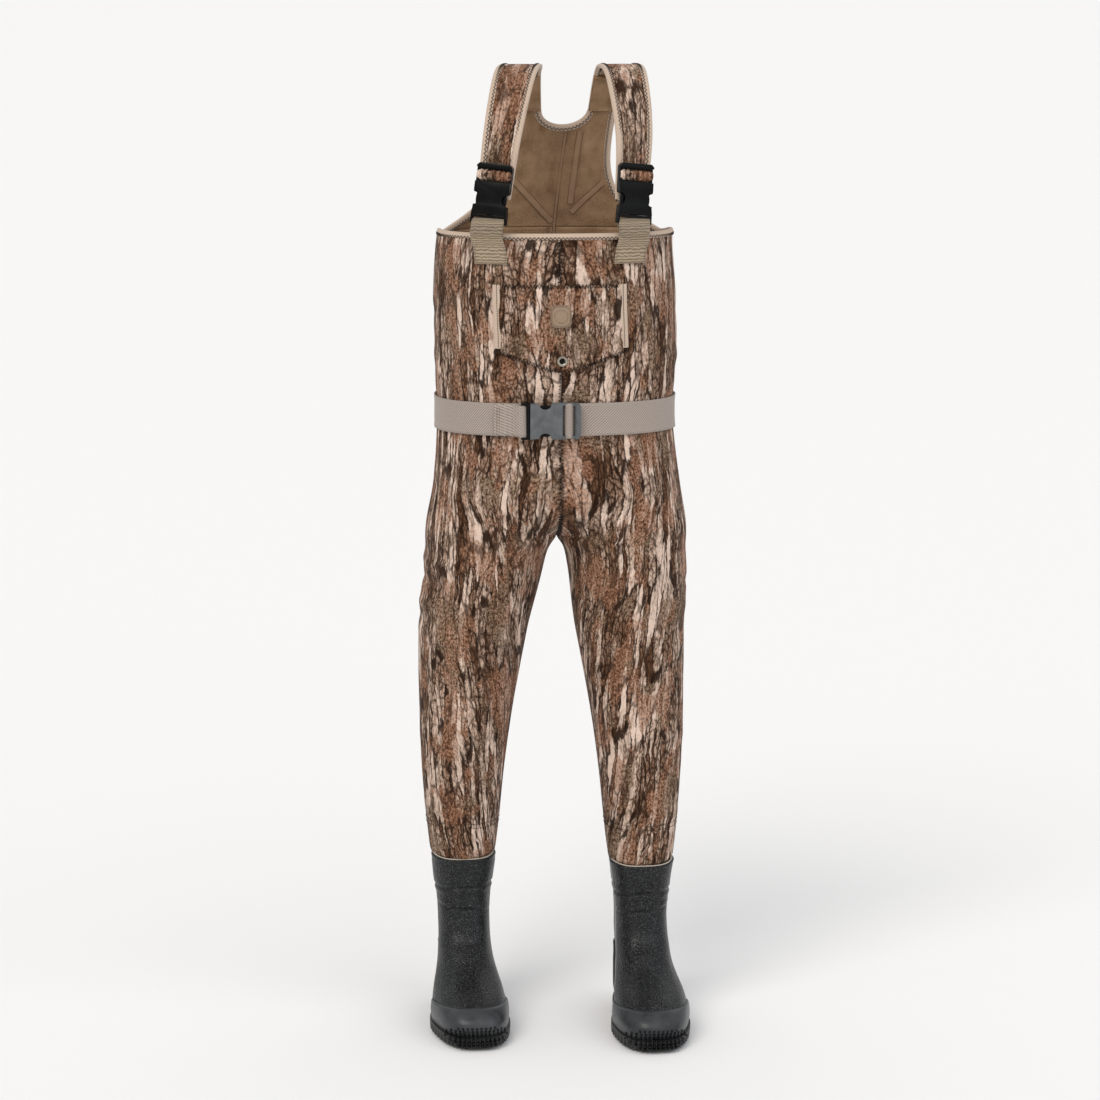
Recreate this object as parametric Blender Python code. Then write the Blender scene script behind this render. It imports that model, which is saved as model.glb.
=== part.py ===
"""Bootfoot neoprene chest waders, standing, with a belt and two buckled shoulder straps.

Metres, +Z up, the chest faces -Y, the wearer's left is +X. The origin is on the floor, under the
middle of the bounding box. Each fabric section is a sheet of real thickness over one smooth trouser
surface, and each buckle is the same assembly of body, plug and two latch arms.
"""

import math

import bmesh
import bpy
from mathutils import Matrix, Vector

# ---- driving dimensions ------------------------------------------------------------------------
RIM_Z = 1.240              # top edge of the bib, under its binding
BELT_Z = 0.968             # middle of the wader belt
HIP_LINE_Z = 0.905         # bib panels end, hip sections begin
RISE_TOP_Z = 0.860         # where the centre seam starts to curve under the crotch
CROTCH_Z = 0.772
THIGH_Z = (0.655, 0.560)   # rigid part of each thigh
SHIN_Z = (0.420, 0.258)    # rigid part of each shin
STEP = 0.016               # each ankle stands this far before or behind the hips
NECK_Z = 1.400             # lowest point of the back neckline
CREST_Z = 1.499            # top of the shoulder straps
FABRIC = 0.005             # neoprene sheet
GAP = 0.0003               # clearance between touching pieces
WEBBING_WIDTH = 0.052
CENTRE_Y = 0.054           # moves the model so that the origin is under the middle of its box
SECTION_POWER = 2.4        # superellipse power of the body's cross-section

# The body by height, each a list of (height, value). It leans a little to the wearer's left.
LEAN = ((0.62, 0.0), (0.72, 0.006), (0.85, 0.008), (0.968, 0.005), (1.06, 0.007), (1.16, 0.004),
        (1.25, 0.006), (1.45, 0.030))
TORSO_HALF_WIDTH = ((0.756, 0.204), (0.827, 0.195), (0.906, 0.186), (0.968, 0.183), (1.06, 0.186),
                    (1.14, 0.187), (1.25, 0.180), (1.45, 0.160))
TORSO_FRONT = ((0.756, 0.108), (0.83, 0.120), (0.906, 0.129), (0.968, 0.131), (1.06, 0.138),
               (1.14, 0.139), (1.25, 0.130), (1.45, 0.110))
TORSO_BACK = ((0.756, 0.122), (0.83, 0.134), (0.906, 0.128), (0.968, 0.120), (1.06, 0.120),
              (1.14, 0.126), (1.25, 0.130), (1.36, 0.118), (1.45, 0.085))
LEG_CENTRE = ((0.20, 0.140), (0.298, 0.140), (0.411, 0.1385), (0.509, 0.133), (0.668, 0.1185),
              (0.725, 0.112), (0.752, 0.1075), (0.772, 0.102), (0.90, 0.102))
LEG_HALF_WIDTH = ((0.20, 0.0445), (0.233, 0.0475), (0.298, 0.056), (0.411, 0.066), (0.509, 0.0745),
                  (0.668, 0.0895), (0.725, 0.0935), (0.752, 0.096), (0.772, 0.102), (0.90, 0.102))
LEG_HALF_DEPTH = ((0.20, 0.050), (0.233, 0.053), (0.298, 0.063), (0.411, 0.074), (0.509, 0.081),
                  (0.668, 0.101), (0.756, 0.113), (0.90, 0.113))

# Boots, in the boot's own frame: +Y to the heel, origin on the floor under the shaft's middle
BOOT_TURN_DEG = {"left": 4.0, "right": 1.5}     # both boots stand turned a little to the wearer's left
BOOT_TOE_Y = -0.221
BOOT_HEEL_Y = 0.070
SOLE_THICKNESS = 0.020
BOOT_TOP_Z = 0.2575
HALF_BALL = 0.0610
HALF_HEEL = 0.044
RUBBER = 0.004

SIDES = {"left": 1, "right": -1}
COLOURS = {                 # base colour, roughness, metallic
    "camo_neoprene": ((0.30, 0.22, 0.16, 1), 0.85, 0.0),
    "tan_binding": ((0.45, 0.37, 0.30, 1), 0.90, 0.0),
    "olive_webbing": ((0.33, 0.29, 0.21, 1), 0.85, 0.0),
    "grey_webbing": ((0.30, 0.27, 0.25, 1), 0.80, 0.0),
    "black_nylon": ((0.02, 0.02, 0.022, 1), 0.45, 0.0),
    "black_rubber": ((0.025, 0.027, 0.028, 1), 0.60, 0.0),
    "tread_rubber": ((0.012, 0.012, 0.013, 1), 0.75, 0.0),
    "nickel": ((0.60, 0.60, 0.60, 1), 0.30, 1.0),
    "insole_felt": ((0.20, 0.19, 0.18, 1), 0.95, 0.0),
}


# ---- small helpers -----------------------------------------------------------------------------
def through(stops, at):
    """A smooth curve through (position, value) stops, flat beyond both ends."""
    if at <= stops[0][0]:
        return stops[0][1]
    if at >= stops[-1][0]:
        return stops[-1][1]
    i = max(k for k in range(len(stops) - 1) if stops[k][0] <= at)
    (x0, y0), (x1, y1) = stops[i], stops[i + 1]
    slope = (y1 - y0) / (x1 - x0)

    def slope_at(k):
        if k in (0, len(stops) - 1):
            return 0.0 if k == 0 else slope
        (xa, ya), (xb, yb) = stops[k - 1], stops[k + 1]
        return (yb - ya) / (xb - xa)

    t = (at - x0) / (x1 - x0)
    span = x1 - x0
    return ((2 * t ** 3 - 3 * t ** 2 + 1) * y0 + (t ** 3 - 2 * t ** 2 + t) * span * slope_at(i)
            + (3 * t ** 2 - 2 * t ** 3) * y1 + (t ** 3 - t ** 2) * span * slope_at(i + 1))


def ease(value, low, high):
    t = min(1.0, max(0.0, (value - low) / (high - low)))
    return t * t * (3 - 2 * t)


def lean(z):
    return through(LEAN, z)


def material(name):
    found = bpy.data.materials.get(name)
    if found:
        return found
    colour, roughness, metallic = COLOURS[name]
    made = bpy.data.materials.new(name)
    made.use_nodes = True
    shader = made.node_tree.nodes["Principled BSDF"]
    shader.inputs["Base Color"].default_value = colour
    shader.inputs["Roughness"].default_value = roughness
    shader.inputs["Metallic"].default_value = metallic
    made.diffuse_color = colour
    return made


def object_from(bm, name, finish, parent, matrix=None):
    """Turns a bmesh into a named object under its parent empty."""
    mesh = bpy.data.meshes.new(name)
    bm.to_mesh(mesh)
    bm.free()
    mesh.materials.append(material(finish))
    mesh.shade_smooth()
    mesh.set_sharp_from_angle(angle=math.radians(40))
    made = bpy.data.objects.new(name, mesh)
    bpy.context.scene.collection.objects.link(made)
    made.parent = parent
    if matrix is not None:
        made.matrix_basis = matrix
    return made


def sheet(name, finish, place, columns, rows, thickness, parent, closed=False, outward=0.0):
    """A sheet of even thickness over place(across, down), both from 0 to 1, solid inwards from there.
    rows is a count or a list of shares down. outward lifts its face off that surface."""
    step = 1e-4
    shares = rows if isinstance(rows, list) else [i / rows for i in range(rows + 1)]
    points, normals = [], []
    for down in shares:
        for i in range(columns + 1):
            across = i / columns
            over = place(across + step, down) - place(across - step, down)
            along = place(across, down + step) - place(across, down - step)
            points.append(place(across, down))
            normals.append(over.cross(along).normalized())
    middle = sum(points, Vector()) / len(points)
    centre = middle if closed else Vector()
    if sum(n.dot(Vector((*(p - centre).xy, 0))) for p, n in zip(points, normals)) < 0:
        normals = [-n for n in normals]

    bm = bmesh.new()
    wide = columns + 1
    outer = [bm.verts.new(p + n * outward) for p, n in zip(points, normals)]
    inner = [bm.verts.new(p + n * (outward - thickness)) for p, n in zip(points, normals)]
    for j in range(len(shares) - 1):
        for i in range(columns):
            corners = (j * wide + i, j * wide + i + 1, (j + 1) * wide + i + 1, (j + 1) * wide + i)
            bm.faces.new([outer[k] for k in corners])
            bm.faces.new([inner[k] for k in corners[::-1]])
        first, last = j * wide, j * wide + columns
        joined = (points[first] - points[last]).length + (points[first + wide] - points[last + wide]).length
        if joined > 1e-5:
            bm.faces.new((outer[first + wide], inner[first + wide], inner[first], outer[first]))
            bm.faces.new((outer[last], inner[last], inner[last + wide], outer[last + wide]))
    for start, order in ((0, 1), ((len(shares) - 1) * wide, -1)):
        for i in range(columns):
            ring = (outer[start + i], inner[start + i], inner[start + i + 1], outer[start + i + 1])
            bm.faces.new(ring[::order])
    bmesh.ops.remove_doubles(bm, verts=bm.verts, dist=1e-6)
    bmesh.ops.recalc_face_normals(bm, faces=bm.faces)
    return object_from(bm, name, finish, parent)


def loft(loops):
    """A closed solid through loops of points, with a flat cap at each end."""
    bm = bmesh.new()
    rings = []
    for loop in loops:
        ring = [bm.verts.new(point) for point in loop]
        rings.append([bm.edges.new((a, b)) for a, b in zip(ring, ring[1:] + ring[:1])])
    for first, second in zip(rings, rings[1:]):
        bmesh.ops.bridge_loops(bm, edges=first + second)
    for ring in (rings[0], rings[-1]):
        bmesh.ops.contextual_create(bm, geom=ring)
    bmesh.ops.recalc_face_normals(bm, faces=bm.faces)
    return bm


def plate(outline, low, high):
    """A flat plate with this outline in XY, from low to high along Z."""
    return loft([[Vector((x, y, z)) for x, y in outline] for z in (low, high)])


def block(size, centre):
    bm = bmesh.new()
    bmesh.ops.create_cube(bm, size=1.0, matrix=Matrix.Translation(centre) @ Matrix.Diagonal((*size, 1)))
    return bm


def rod(radius, length, centre, segments=16):
    """A round bar along X."""
    bm = bmesh.new()
    turn = Matrix.Translation(centre) @ Matrix.Rotation(math.pi / 2, 4, "Y")
    bmesh.ops.create_cone(bm, cap_ends=True, segments=segments, radius1=radius, radius2=radius,
                          depth=length, matrix=turn)
    return bm


def combine(made, tool_bm, operation):
    """Joins a second shape to an object, or cuts it away, with a hidden tool object."""
    tool = object_from(tool_bm, f"{made.name}_{operation.lower()}_{len(made.modifiers)}",
                       made.data.materials[0].name, made.parent, made.matrix_basis.copy())
    tool.hide_render = True
    tool.display_type = "WIRE"
    cut = made.modifiers.new(operation.lower(), "BOOLEAN")
    cut.operation = operation
    cut.solver = "EXACT"
    cut.object = tool
    return made


# ---- the body's surface ------------------------------------------------------------------------
def superellipse(turn):
    """(sideways, forwards) shares at this angle from the front, 0 to pi."""
    across = abs(math.sin(turn)) ** (2 / SECTION_POWER)
    along = math.copysign(abs(math.cos(turn)) ** (2 / SECTION_POWER), math.cos(turn))
    return across, along


def torso_point(turn, z, lift=0.0):
    """The torso at an angle from the front, positive to the wearer's left, lifted off its surface."""
    turn = (turn + math.pi) % (2 * math.pi) - math.pi
    across, along = superellipse(abs(turn))
    depth = through(TORSO_FRONT if along > 0 else TORSO_BACK, z)
    point = Vector((math.copysign(across, turn) * through(TORSO_HALF_WIDTH, z), -along * depth, z))
    if lift:
        out = Vector((point.x / through(TORSO_HALF_WIDTH, z) ** 2, point.y / depth ** 2, 0)).normalized()
        point += out * lift
    point.x += lean(z)
    return point


def front_point(x, z, lift=0.0):
    """The front of the torso at this x, lifted off its surface."""
    share = min(1.0, abs(x) / through(TORSO_HALF_WIDTH, z))
    turn = math.asin(share ** (SECTION_POWER / 2))
    return torso_point(math.copysign(turn, x), z, lift)


def leg_centre_y(side, z):
    """The left leg steps forward and the right leg back."""
    return -side * STEP * ease(CROTCH_Z - z, 0.0, CROTCH_Z - SHIN_Z[1])


def trouser_point(side, around, z):
    """One half of the garment. around runs from the front seam (0) past the outer side to the back
    seam (1); below the crotch both ends are the inseam."""
    rise = min(1.0, max(0.0, (RISE_TOP_Z - z) / (RISE_TOP_Z - CROTCH_Z))) * math.pi / 2
    leg_share = 1 - math.cos(rise)
    shift = lean(z)
    torso = torso_point(math.pi * around, z)
    torso.x -= shift
    turn = 2 * math.pi * around
    level = min(z, CROTCH_Z)
    width = through(LEG_HALF_WIDTH, level)
    leg = Vector((through(LEG_CENTRE, level) - width * math.cos(turn),
                  leg_centre_y(side, z) - through(LEG_HALF_DEPTH, level) * math.sin(turn), z))
    point = torso.lerp(leg, leg_share)
    point.y *= 1 + 0.13 * math.sin(math.pi * leg_share)
    seam_z = RISE_TOP_Z - (RISE_TOP_Z - CROTCH_Z) * math.sin(rise)
    if CROTCH_Z < z < RISE_TOP_Z:
        point.z += (seam_z - z) * abs(2 * around - 1) ** 4
    return Vector((side * (point.x + GAP / 2) + shift, point.y, point.z))


def section(name, side, around, heights, columns, rows, parent, closed=False):
    """A neoprene section of one half of the garment."""
    def place(across, down):
        top, bottom = heights
        z = min(top - GAP / 2, max(bottom + GAP / 2, top + (bottom - top) * down))
        return trouser_point(side, around[0] + (around[1] - around[0]) * across, z)
    return sheet(name, "camo_neoprene", place, columns, rows, FABRIC, parent, closed)


def build_body(parent):
    margin = 0.0008        # share of the way round, leaves the gap at the side seams
    for word, side in SIDES.items():
        bib = (RIM_Z, HIP_LINE_Z)
        section(f"{word}_front_panel", side, (0, 0.5 - margin), bib, 8, 6, parent)
        section(f"{word}_back_panel", side, (0.5 + margin, 1), bib, 8, 6, parent)
        hip = (HIP_LINE_Z, THIGH_Z[0])
        crotch = (HIP_LINE_Z - CROTCH_Z) / (HIP_LINE_Z - THIGH_Z[0])
        rows = [crotch * i / 5 for i in range(5)] + [crotch, 0.62, 0.76, 1.0]
        section(f"{word}_hip_section", side, (0, 1), hip, 18, rows, parent)
        section(f"{word}_thigh_section", side, (0, 1), THIGH_Z, 18, 2, parent, True)
        section(f"{word}_knee_section", side, (0, 1), (THIGH_Z[1], SHIN_Z[0]), 18, 3, parent, True)
        section(f"{word}_shin_section", side, (0, 1), SHIN_Z, 18, 4, parent, True)


# ---- high back and straps ----------------------------------------------------------------------
YOKE_TOP_Z = 1.425         # the straps leave the high back here
YOKE_SHOULDER = 0.080      # half width of the high back where the straps leave it
NECK_HALF = 0.037          # half width of the neckline there


def armhole(z):
    """Half width of the high back at this height: full at the rim, hollow, narrow at the straps."""
    fall = min(1.0, max(0.0, (z - RIM_Z) / (YOKE_TOP_Z - RIM_Z)))
    return YOKE_SHOULDER + (0.172 - YOKE_SHOULDER) * (1 - fall) ** 4


def back_point(x, z):
    share = min(1.0, abs(x) / through(TORSO_HALF_WIDTH, z))
    turn = math.pi - math.asin(share ** (SECTION_POWER / 2))
    return torso_point(math.copysign(turn, x), z)


def build_yoke(parent):
    low = RIM_Z + 2 * GAP

    def place(across, down):
        share = 2 * across - 1
        top = YOKE_TOP_Z
        x_top = abs(share) * YOKE_SHOULDER
        if x_top < NECK_HALF:
            top = NECK_Z + (YOKE_TOP_Z - NECK_Z) * (1 - math.sqrt(1 - (x_top / NECK_HALF) ** 2))
        line = low + (YOKE_TOP_Z - low) * (1 - down)
        return back_point(share * armhole(line), low + (top - low) * (1 - down))
    return sheet("back_yoke", "camo_neoprene", place, 20, 8, FABRIC, parent)


def strap_path(side):
    """Middle line of a shoulder strap from the high back over the crest down to its buckle, as
    (point, yaw of its face, half width) rows."""
    start = back_point(side * (YOKE_SHOULDER + NECK_HALF) / 2, YOKE_TOP_Z)
    start.z += 5 * GAP
    crest = Vector((side * 0.075 + lean(1.45), 0.012, CREST_Z - FABRIC))
    chest = Vector((side * 0.099 + lean(1.36), -0.104, 1.395))
    end = Vector((side * 0.103 + lean(1.28), -0.1165, 1.300))
    stops = [start, start.lerp(crest, 0.55) + Vector((0, 0.012, 0.014)), crest,
             crest.lerp(chest, 0.45) + Vector((0, -0.019, 0.028)), chest, end]
    yaws = (0.0, 0.0, 0.0, 8.0, 20.0, 20.0)
    widths = (0.0210, 0.026, 0.031, 0.031, 0.029, 0.025)
    keys = range(len(stops))
    rows = []
    for i in range(21):
        at = i / 20 * (len(stops) - 1)
        point = Vector(through([(k, stops[k][axis]) for k in keys], at) for axis in range(3))
        rows.append((point, math.radians(through(list(zip(keys, yaws)), at)),
                     through(list(zip(keys, widths)), at)))
    return rows


def build_straps(parent):
    for word, side in SIDES.items():
        rows = strap_path(side)
        loops = []
        for i, (point, yaw, half) in enumerate(rows):
            ahead = rows[min(i + 1, len(rows) - 1)][0] - rows[max(i - 1, 0)][0]
            across = Vector((math.cos(side * yaw), math.sin(side * yaw), 0))
            out = across.cross(ahead).normalized()
            loops.append([point + across * side_half + out * side_out
                          for side_half, side_out in ((half, FABRIC / 2), (half, -FABRIC / 2),
                                                      (-half, -FABRIC / 2), (-half, FABRIC / 2))])
        object_from(loft(loops), f"{word}_shoulder_strap", "camo_neoprene", parent)


# ---- binding, pocket, tabs and belt ------------------------------------------------------------
def build_rim_binding(parent):
    def place(across, down):
        return torso_point(math.pi * (across - 0.5) * 1.19, RIM_Z + GAP + 0.0095 * (1 - down))
    return sheet("front_rim_binding", "tan_binding", place, 24, 1, FABRIC + 0.002, parent, outward=0.001)


def edge_tube(name, points, parent):
    """Binding rolled along an edge, as a round tube."""
    curve = bpy.data.curves.new(name, "CURVE")
    curve.dimensions = "3D"
    curve.bevel_depth = 0.0038
    curve.bevel_resolution = 2
    curve.use_fill_caps = True
    spline = curve.splines.new("POLY")
    spline.points.add(len(points) - 1)
    for target, point in zip(spline.points, points):
        target.co = (*point, 1)
    curve.materials.append(material("tan_binding"))
    made = bpy.data.objects.new(name, curve)
    bpy.context.scene.collection.objects.link(made)
    made.parent = parent
    return made


def build_edge_bindings(parent):
    """Neckline and the two armholes of the high back. Each tube stands just clear of the cut edge."""
    clear = 0.0048
    neck = []
    for i in range(17):
        turn = math.pi * (i / 16 - 0.5)
        x = (NECK_HALF - clear) * math.sin(turn)
        z = YOKE_TOP_Z - (YOKE_TOP_Z - NECK_Z - clear) * math.cos(turn)
        point = back_point(x, z)
        point.y -= FABRIC / 2
        neck.append(point)
    edge_tube("neck_binding", neck, parent)
    for word, side in SIDES.items():
        points = []
        for i in range(13):
            z = RIM_Z + 0.014 + (YOKE_TOP_Z - 0.004 - RIM_Z - 0.014) * (i / 12) ** 1.3
            slope = (armhole(z + 0.001) - armhole(z - 0.001)) / 0.002
            share = clear / math.hypot(1, slope)
            point = back_point(side * (armhole(z) + share), z - slope * share)
            point.y -= FABRIC / 2
            points.append(point)
        edge_tube(f"{word}_armhole_binding", points, parent)


POCKET_HALF = 0.098
POCKET_TOP_Z = 1.172
POCKET_SIDE_Z = 1.076
POCKET_TIP_Z = 1.041
POCKET_THICKNESS = 0.0035
EYELET_Z = 1.058


def pocket_point(across, down, lift):
    x = (2 * across - 1) * (POCKET_HALF - 0.008)
    bottom = POCKET_TIP_Z + (POCKET_SIDE_Z - POCKET_TIP_Z) * (abs(x) / POCKET_HALF) ** 1.3
    return front_point(x, POCKET_TOP_Z + (bottom - POCKET_TOP_Z) * down, lift)


def build_pocket(parent):
    lift = POCKET_THICKNESS + 2 * GAP
    pocket = sheet("chest_pocket", "camo_neoprene", lambda a, d: pocket_point(a, d, lift), 16, 6,
                   POCKET_THICKNESS, parent)
    for word, side in SIDES.items():
        def strip(across, down, side=side):
            x = side * (POCKET_HALF - 0.0077 + 0.0080 * across)
            z = POCKET_TOP_Z + (POCKET_SIDE_Z + 0.004 - POCKET_TOP_Z) * down
            return front_point(x, z, lift + 0.001)
        sheet(f"{word}_pocket_binding", "tan_binding", strip, 1, 5, POCKET_THICKNESS + 0.0015, parent)

    def patch(across, down):
        return front_point((across - 0.5) * 0.030, 1.148 - 0.046 * down, lift + GAP + 0.0012)
    sheet("pocket_patch", "olive_webbing", patch, 3, 3, 0.0012, parent)

    face = front_point(0.0, EYELET_Z, lift)
    turn = Matrix.Translation(face) @ Matrix.Rotation(math.pi / 2, 4, "X")
    hole = bmesh.new()
    bmesh.ops.create_cone(hole, cap_ends=True, segments=20, radius1=0.0052, radius2=0.0052, depth=0.04,
                          matrix=turn)
    combine(pocket, hole, "DIFFERENCE")
    profile = ((0.0034, -0.0034), (0.0048, -0.0034), (0.0048, 0.0004), (0.0085, 0.0004),
               (0.0078, 0.0016), (0.0050, 0.0019), (0.0034, 0.0008))
    eyelet = bmesh.new()
    ring = [eyelet.verts.new((r, 0, z)) for r, z in profile]
    edges = [eyelet.edges.new((a, b)) for a, b in zip(ring, ring[1:] + ring[:1])]
    bmesh.ops.spin(eyelet, geom=ring + edges, cent=(0, 0, 0), axis=(0, 0, 1), angle=2 * math.pi,
                   steps=24, use_merge=True)
    bmesh.ops.recalc_face_normals(eyelet, faces=eyelet.faces)
    object_from(eyelet, "drain_eyelet", "nickel", parent, turn)


def build_belt(parent):
    """Webbing all round the waist: it passes behind the buckle body and ends at the plug."""
    finish = 2 * math.pi - 0.262

    def place(across, down):
        turn = min(finish + across / 1000, 31 * across * math.pi / 16)
        return torso_point(turn, BELT_Z + WEBBING_WIDTH / 2 - WEBBING_WIDTH * down, 0.0032)
    sheet("belt_webbing", "grey_webbing", place, 31, 1, 0.0018, parent)


def build_belt_loop(parent):
    """A flat keeper over the belt at the middle of the back."""
    def place(across, down):
        bulge = 0.0040 + 0.0056 * ease(0.5 - abs(down - 0.5), 0.0, 0.13)
        return torso_point(math.pi - 0.10 + 0.20 * across, BELT_Z + 0.034 - 0.068 * down, bulge)

    sheet("back_belt_keeper", "camo_neoprene", place, 2, 8, 0.0030, parent)


# ---- buckles -----------------------------------------------------------------------------------
# Buckle frame: X across the webbing, Y from the plug to the body's adjuster, Z away from the wearer.
# The origin is where the arms spring from the plug, at the back plane of the body.
BODY_MOUTH = 0.0008
BODY_TOP = 0.077
BODY_HALF = 0.0275
BODY_THICK = 0.012
CAVITY_HALF = 0.0235
ADJUSTER = (0.0505, 0.0690)
BAR_Y = 0.0598
RAIL_THICK = 0.0075         # beside the bar, where the strap folds over it
ARM_PIVOT = (0.0180, 0.0025)
ARM_LOW, ARM_HIGH = 0.0036, 0.0084
PLUG_BAR_Y = -0.0095


def buckle_body(prefix, parent, matrix):
    half = [(BODY_HALF, BODY_MOUTH), (0.0262, 0.012)]
    for i in range(9):     # hollow for the fingertip
        turn = math.pi * i / 8
        half.append((0.0266 - 0.0085 * math.sin(turn), 0.0235 - 0.0095 * math.cos(turn)))
    half += [(BODY_HALF, 0.036), (BODY_HALF, BODY_TOP - 0.004), (BODY_HALF - 0.004, BODY_TOP)]
    outline = half + [(-x, y) for x, y in reversed(half)]
    name = f"{prefix}_buckle_body"
    made = object_from(plate(outline, 0, BODY_THICK), name, "black_nylon", parent, matrix)
    depth = 0.047
    cavity = block((2 * CAVITY_HALF, depth, 0.0068), (0, depth / 2 - 0.001, BODY_THICK / 2))
    combine(made, cavity, "DIFFERENCE")
    low, high = ADJUSTER
    combine(made, block((0.046, high - low, 0.04), (0, (low + high) / 2, 0)), "DIFFERENCE")
    rails = block((0.1, high - low + 0.0025, 0.01), (0, (low + high) / 2, RAIL_THICK + 0.005))
    combine(made, rails, "DIFFERENCE")
    return combine(made, rod(0.0024, 0.050, (0, BAR_Y, 0.0048), 12), "UNION")


def buckle_plug(prefix, parent, matrix):
    made = object_from(rod(0.0024, 0.050, (0, PLUG_BAR_Y, 0.0055), 12), f"{prefix}_buckle_plug",
                       "black_nylon", parent, matrix)
    for x in (-0.0263, 0.0263):
        combine(made, block((0.0034, 0.0135, 0.009), (x, -0.0060, 0.0058)), "UNION")
    combine(made, block((0.0555, 0.0040, 0.009), (0, -0.0020, 0.0058)), "UNION")
    return combine(made, block((0.0090, 0.0380, 0.0046), (0, 0.0175, 0.0060)), "UNION")


def latch_arm(prefix, word, hand, parent, matrix):
    """One springy arm, drawn for the +X side and mirrored for the other. Its origin is its root."""
    outline = [(0.0150, 0.0012), (0.0205, 0.0006), (0.0218, 0.0060), (0.0223, 0.0150)]
    for i in range(1, 6):  # fingertip pad, just proud of the cavity's side
        turn = math.pi * i / 6
        outline.append((0.0223 + 0.0017 * math.sin(turn), 0.0236 - 0.0080 * math.cos(turn)))
    outline += [(0.0222, 0.0350), (0.0196, 0.0425), (0.0150, 0.0440), (0.0160, 0.0360), (0.0186, 0.0250),
                (0.0178, 0.0100)]
    pivot_x, pivot_y = ARM_PIVOT
    points = [(hand * (x - pivot_x), y - pivot_y) for x, y in outline]
    root = matrix @ Matrix.Translation((hand * pivot_x, pivot_y, 0))
    name = f"{prefix}_latch_arm_{word}"
    return object_from(plate(points, ARM_LOW, ARM_HIGH), name, "black_nylon", parent, root)


def adjuster_loop(prefix, finish, parent, matrix):
    """The strap's end, folded over the adjuster's bar."""
    steps = 8
    outer, inner = 0.0086, 0.0046
    outline = []
    for radius, order in ((outer, range(steps + 1)), (inner, range(steps, -1, -1))):
        outline += [(-radius * math.cos(math.pi * i / steps), radius * math.sin(math.pi * i / steps))
                    for i in order]
    loops = [[Vector((x, BAR_Y + y, 0.0030 + z)) for y, z in outline] for x in (-0.0222, 0.0222)]
    return object_from(loft(loops), f"{prefix}_strap_loop", finish, parent, matrix)


def build_buckle(prefix, words, loop_finish, parent, matrix):
    buckle_body(prefix, parent, matrix)
    buckle_plug(prefix, parent, matrix)
    for word, hand in words:
        latch_arm(prefix, word, hand, parent, matrix)
    adjuster_loop(prefix, loop_finish, parent, matrix)


def frame_at(origin, along, out):
    """A buckle's matrix from its origin, its Y direction and roughly its Z direction."""
    y = along.normalized()
    x = y.cross(out).normalized()
    z = x.cross(y)
    return Matrix.Translation(origin) @ Matrix((x, y, z)).transposed().to_4x4()


def shoulder_matrix(side):
    """The shoulder buckle lies on the front of its strap, in line with the strap's last stretch."""
    rows = strap_path(side)
    end, chest = rows[-1][0], rows[-5][0]
    yaw = rows[-1][1]
    out = Vector((side * math.sin(yaw), -math.cos(yaw), 0.1))
    along = (chest - end).normalized()
    out = (out - along * out.dot(along)).normalized()
    return frame_at(end - along * 0.0255 + out * (FABRIC / 2 + 0.0044), along, out)


def belt_matrix():
    """The belt buckle lies across the front; its body slides towards the wearer's left."""
    face = front_point(0.0, BELT_Z, 0.0048)
    return frame_at(Vector((-0.0425, face.y, BELT_Z)), Vector((1, 0, 0)), Vector((0, -1, -0.045)))


def build_tab(word, side, parent, matrix):
    """Webbing sewn to the bib, rising to a loop round the plug's bar."""
    across = matrix.to_3x3() @ Vector((1, 0, 0))
    out = matrix.to_3x3() @ Vector((0, 0, 1))
    bar = matrix @ Vector((0, PLUG_BAR_Y, 0.0055))
    foot = 0.0042          # half thickness round the bar
    rows = [(bar + Vector((0, 0, 0.0055)), 0.0026), (bar + Vector((0, 0, 0.0030)), foot),
            (bar, foot + 0.0008), (bar - Vector((0, 0, 0.0040)), foot)]
    for z, lift in ((1.2515, 0.0042), (1.2380, 0.0040), (1.2200, 0.0026), (1.2025, 0.0026)):
        rows.append((front_point(side * 0.100, z, lift), 0.0018))
    loops = []
    for centre, thick in rows:
        half = 0.0230 if centre.z > 1.245 else WEBBING_WIDTH / 2 - 0.0005
        loops.append([centre + across * half + out * thick, centre + across * half - out * thick,
                      centre - across * half - out * thick, centre - across * half + out * thick])
    tab = object_from(loft(loops), f"{word}_front_tab", "olive_webbing", parent)
    hole = rod(0.0028, 0.060, (0, PLUG_BAR_Y, 0.0055), 12)
    hole.transform(matrix)
    return combine(tab, hole, "DIFFERENCE")


# ---- boots -------------------------------------------------------------------------------------
def foot_outline(z_share, toe, heel, ball_half, heel_half, inset, side, count=28):
    """A foot's outline at one height, as (x, y) from the toe round. Inset shrinks it evenly."""
    points = []
    for i in range(count):
        turn = 2 * math.pi * i / count
        along = (1 - math.cos(turn)) / 2
        y = toe + inset + (heel - toe - 2 * inset) * along
        waist = 0.004 * math.sin(math.pi * min(1.0, max(0.0, (along - 0.35) / 0.45)))
        half = ball_half + (heel_half - ball_half) * ease(along, 0.30, 0.85) - waist - inset
        x = math.copysign(abs(math.sin(turn)) ** 0.64, math.sin(turn)) * half
        swing = -side * 0.007 * (1 - z_share) * (1 - ease(along, 0.0, 0.55))
        points.append((x + swing, y))
    return points


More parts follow.
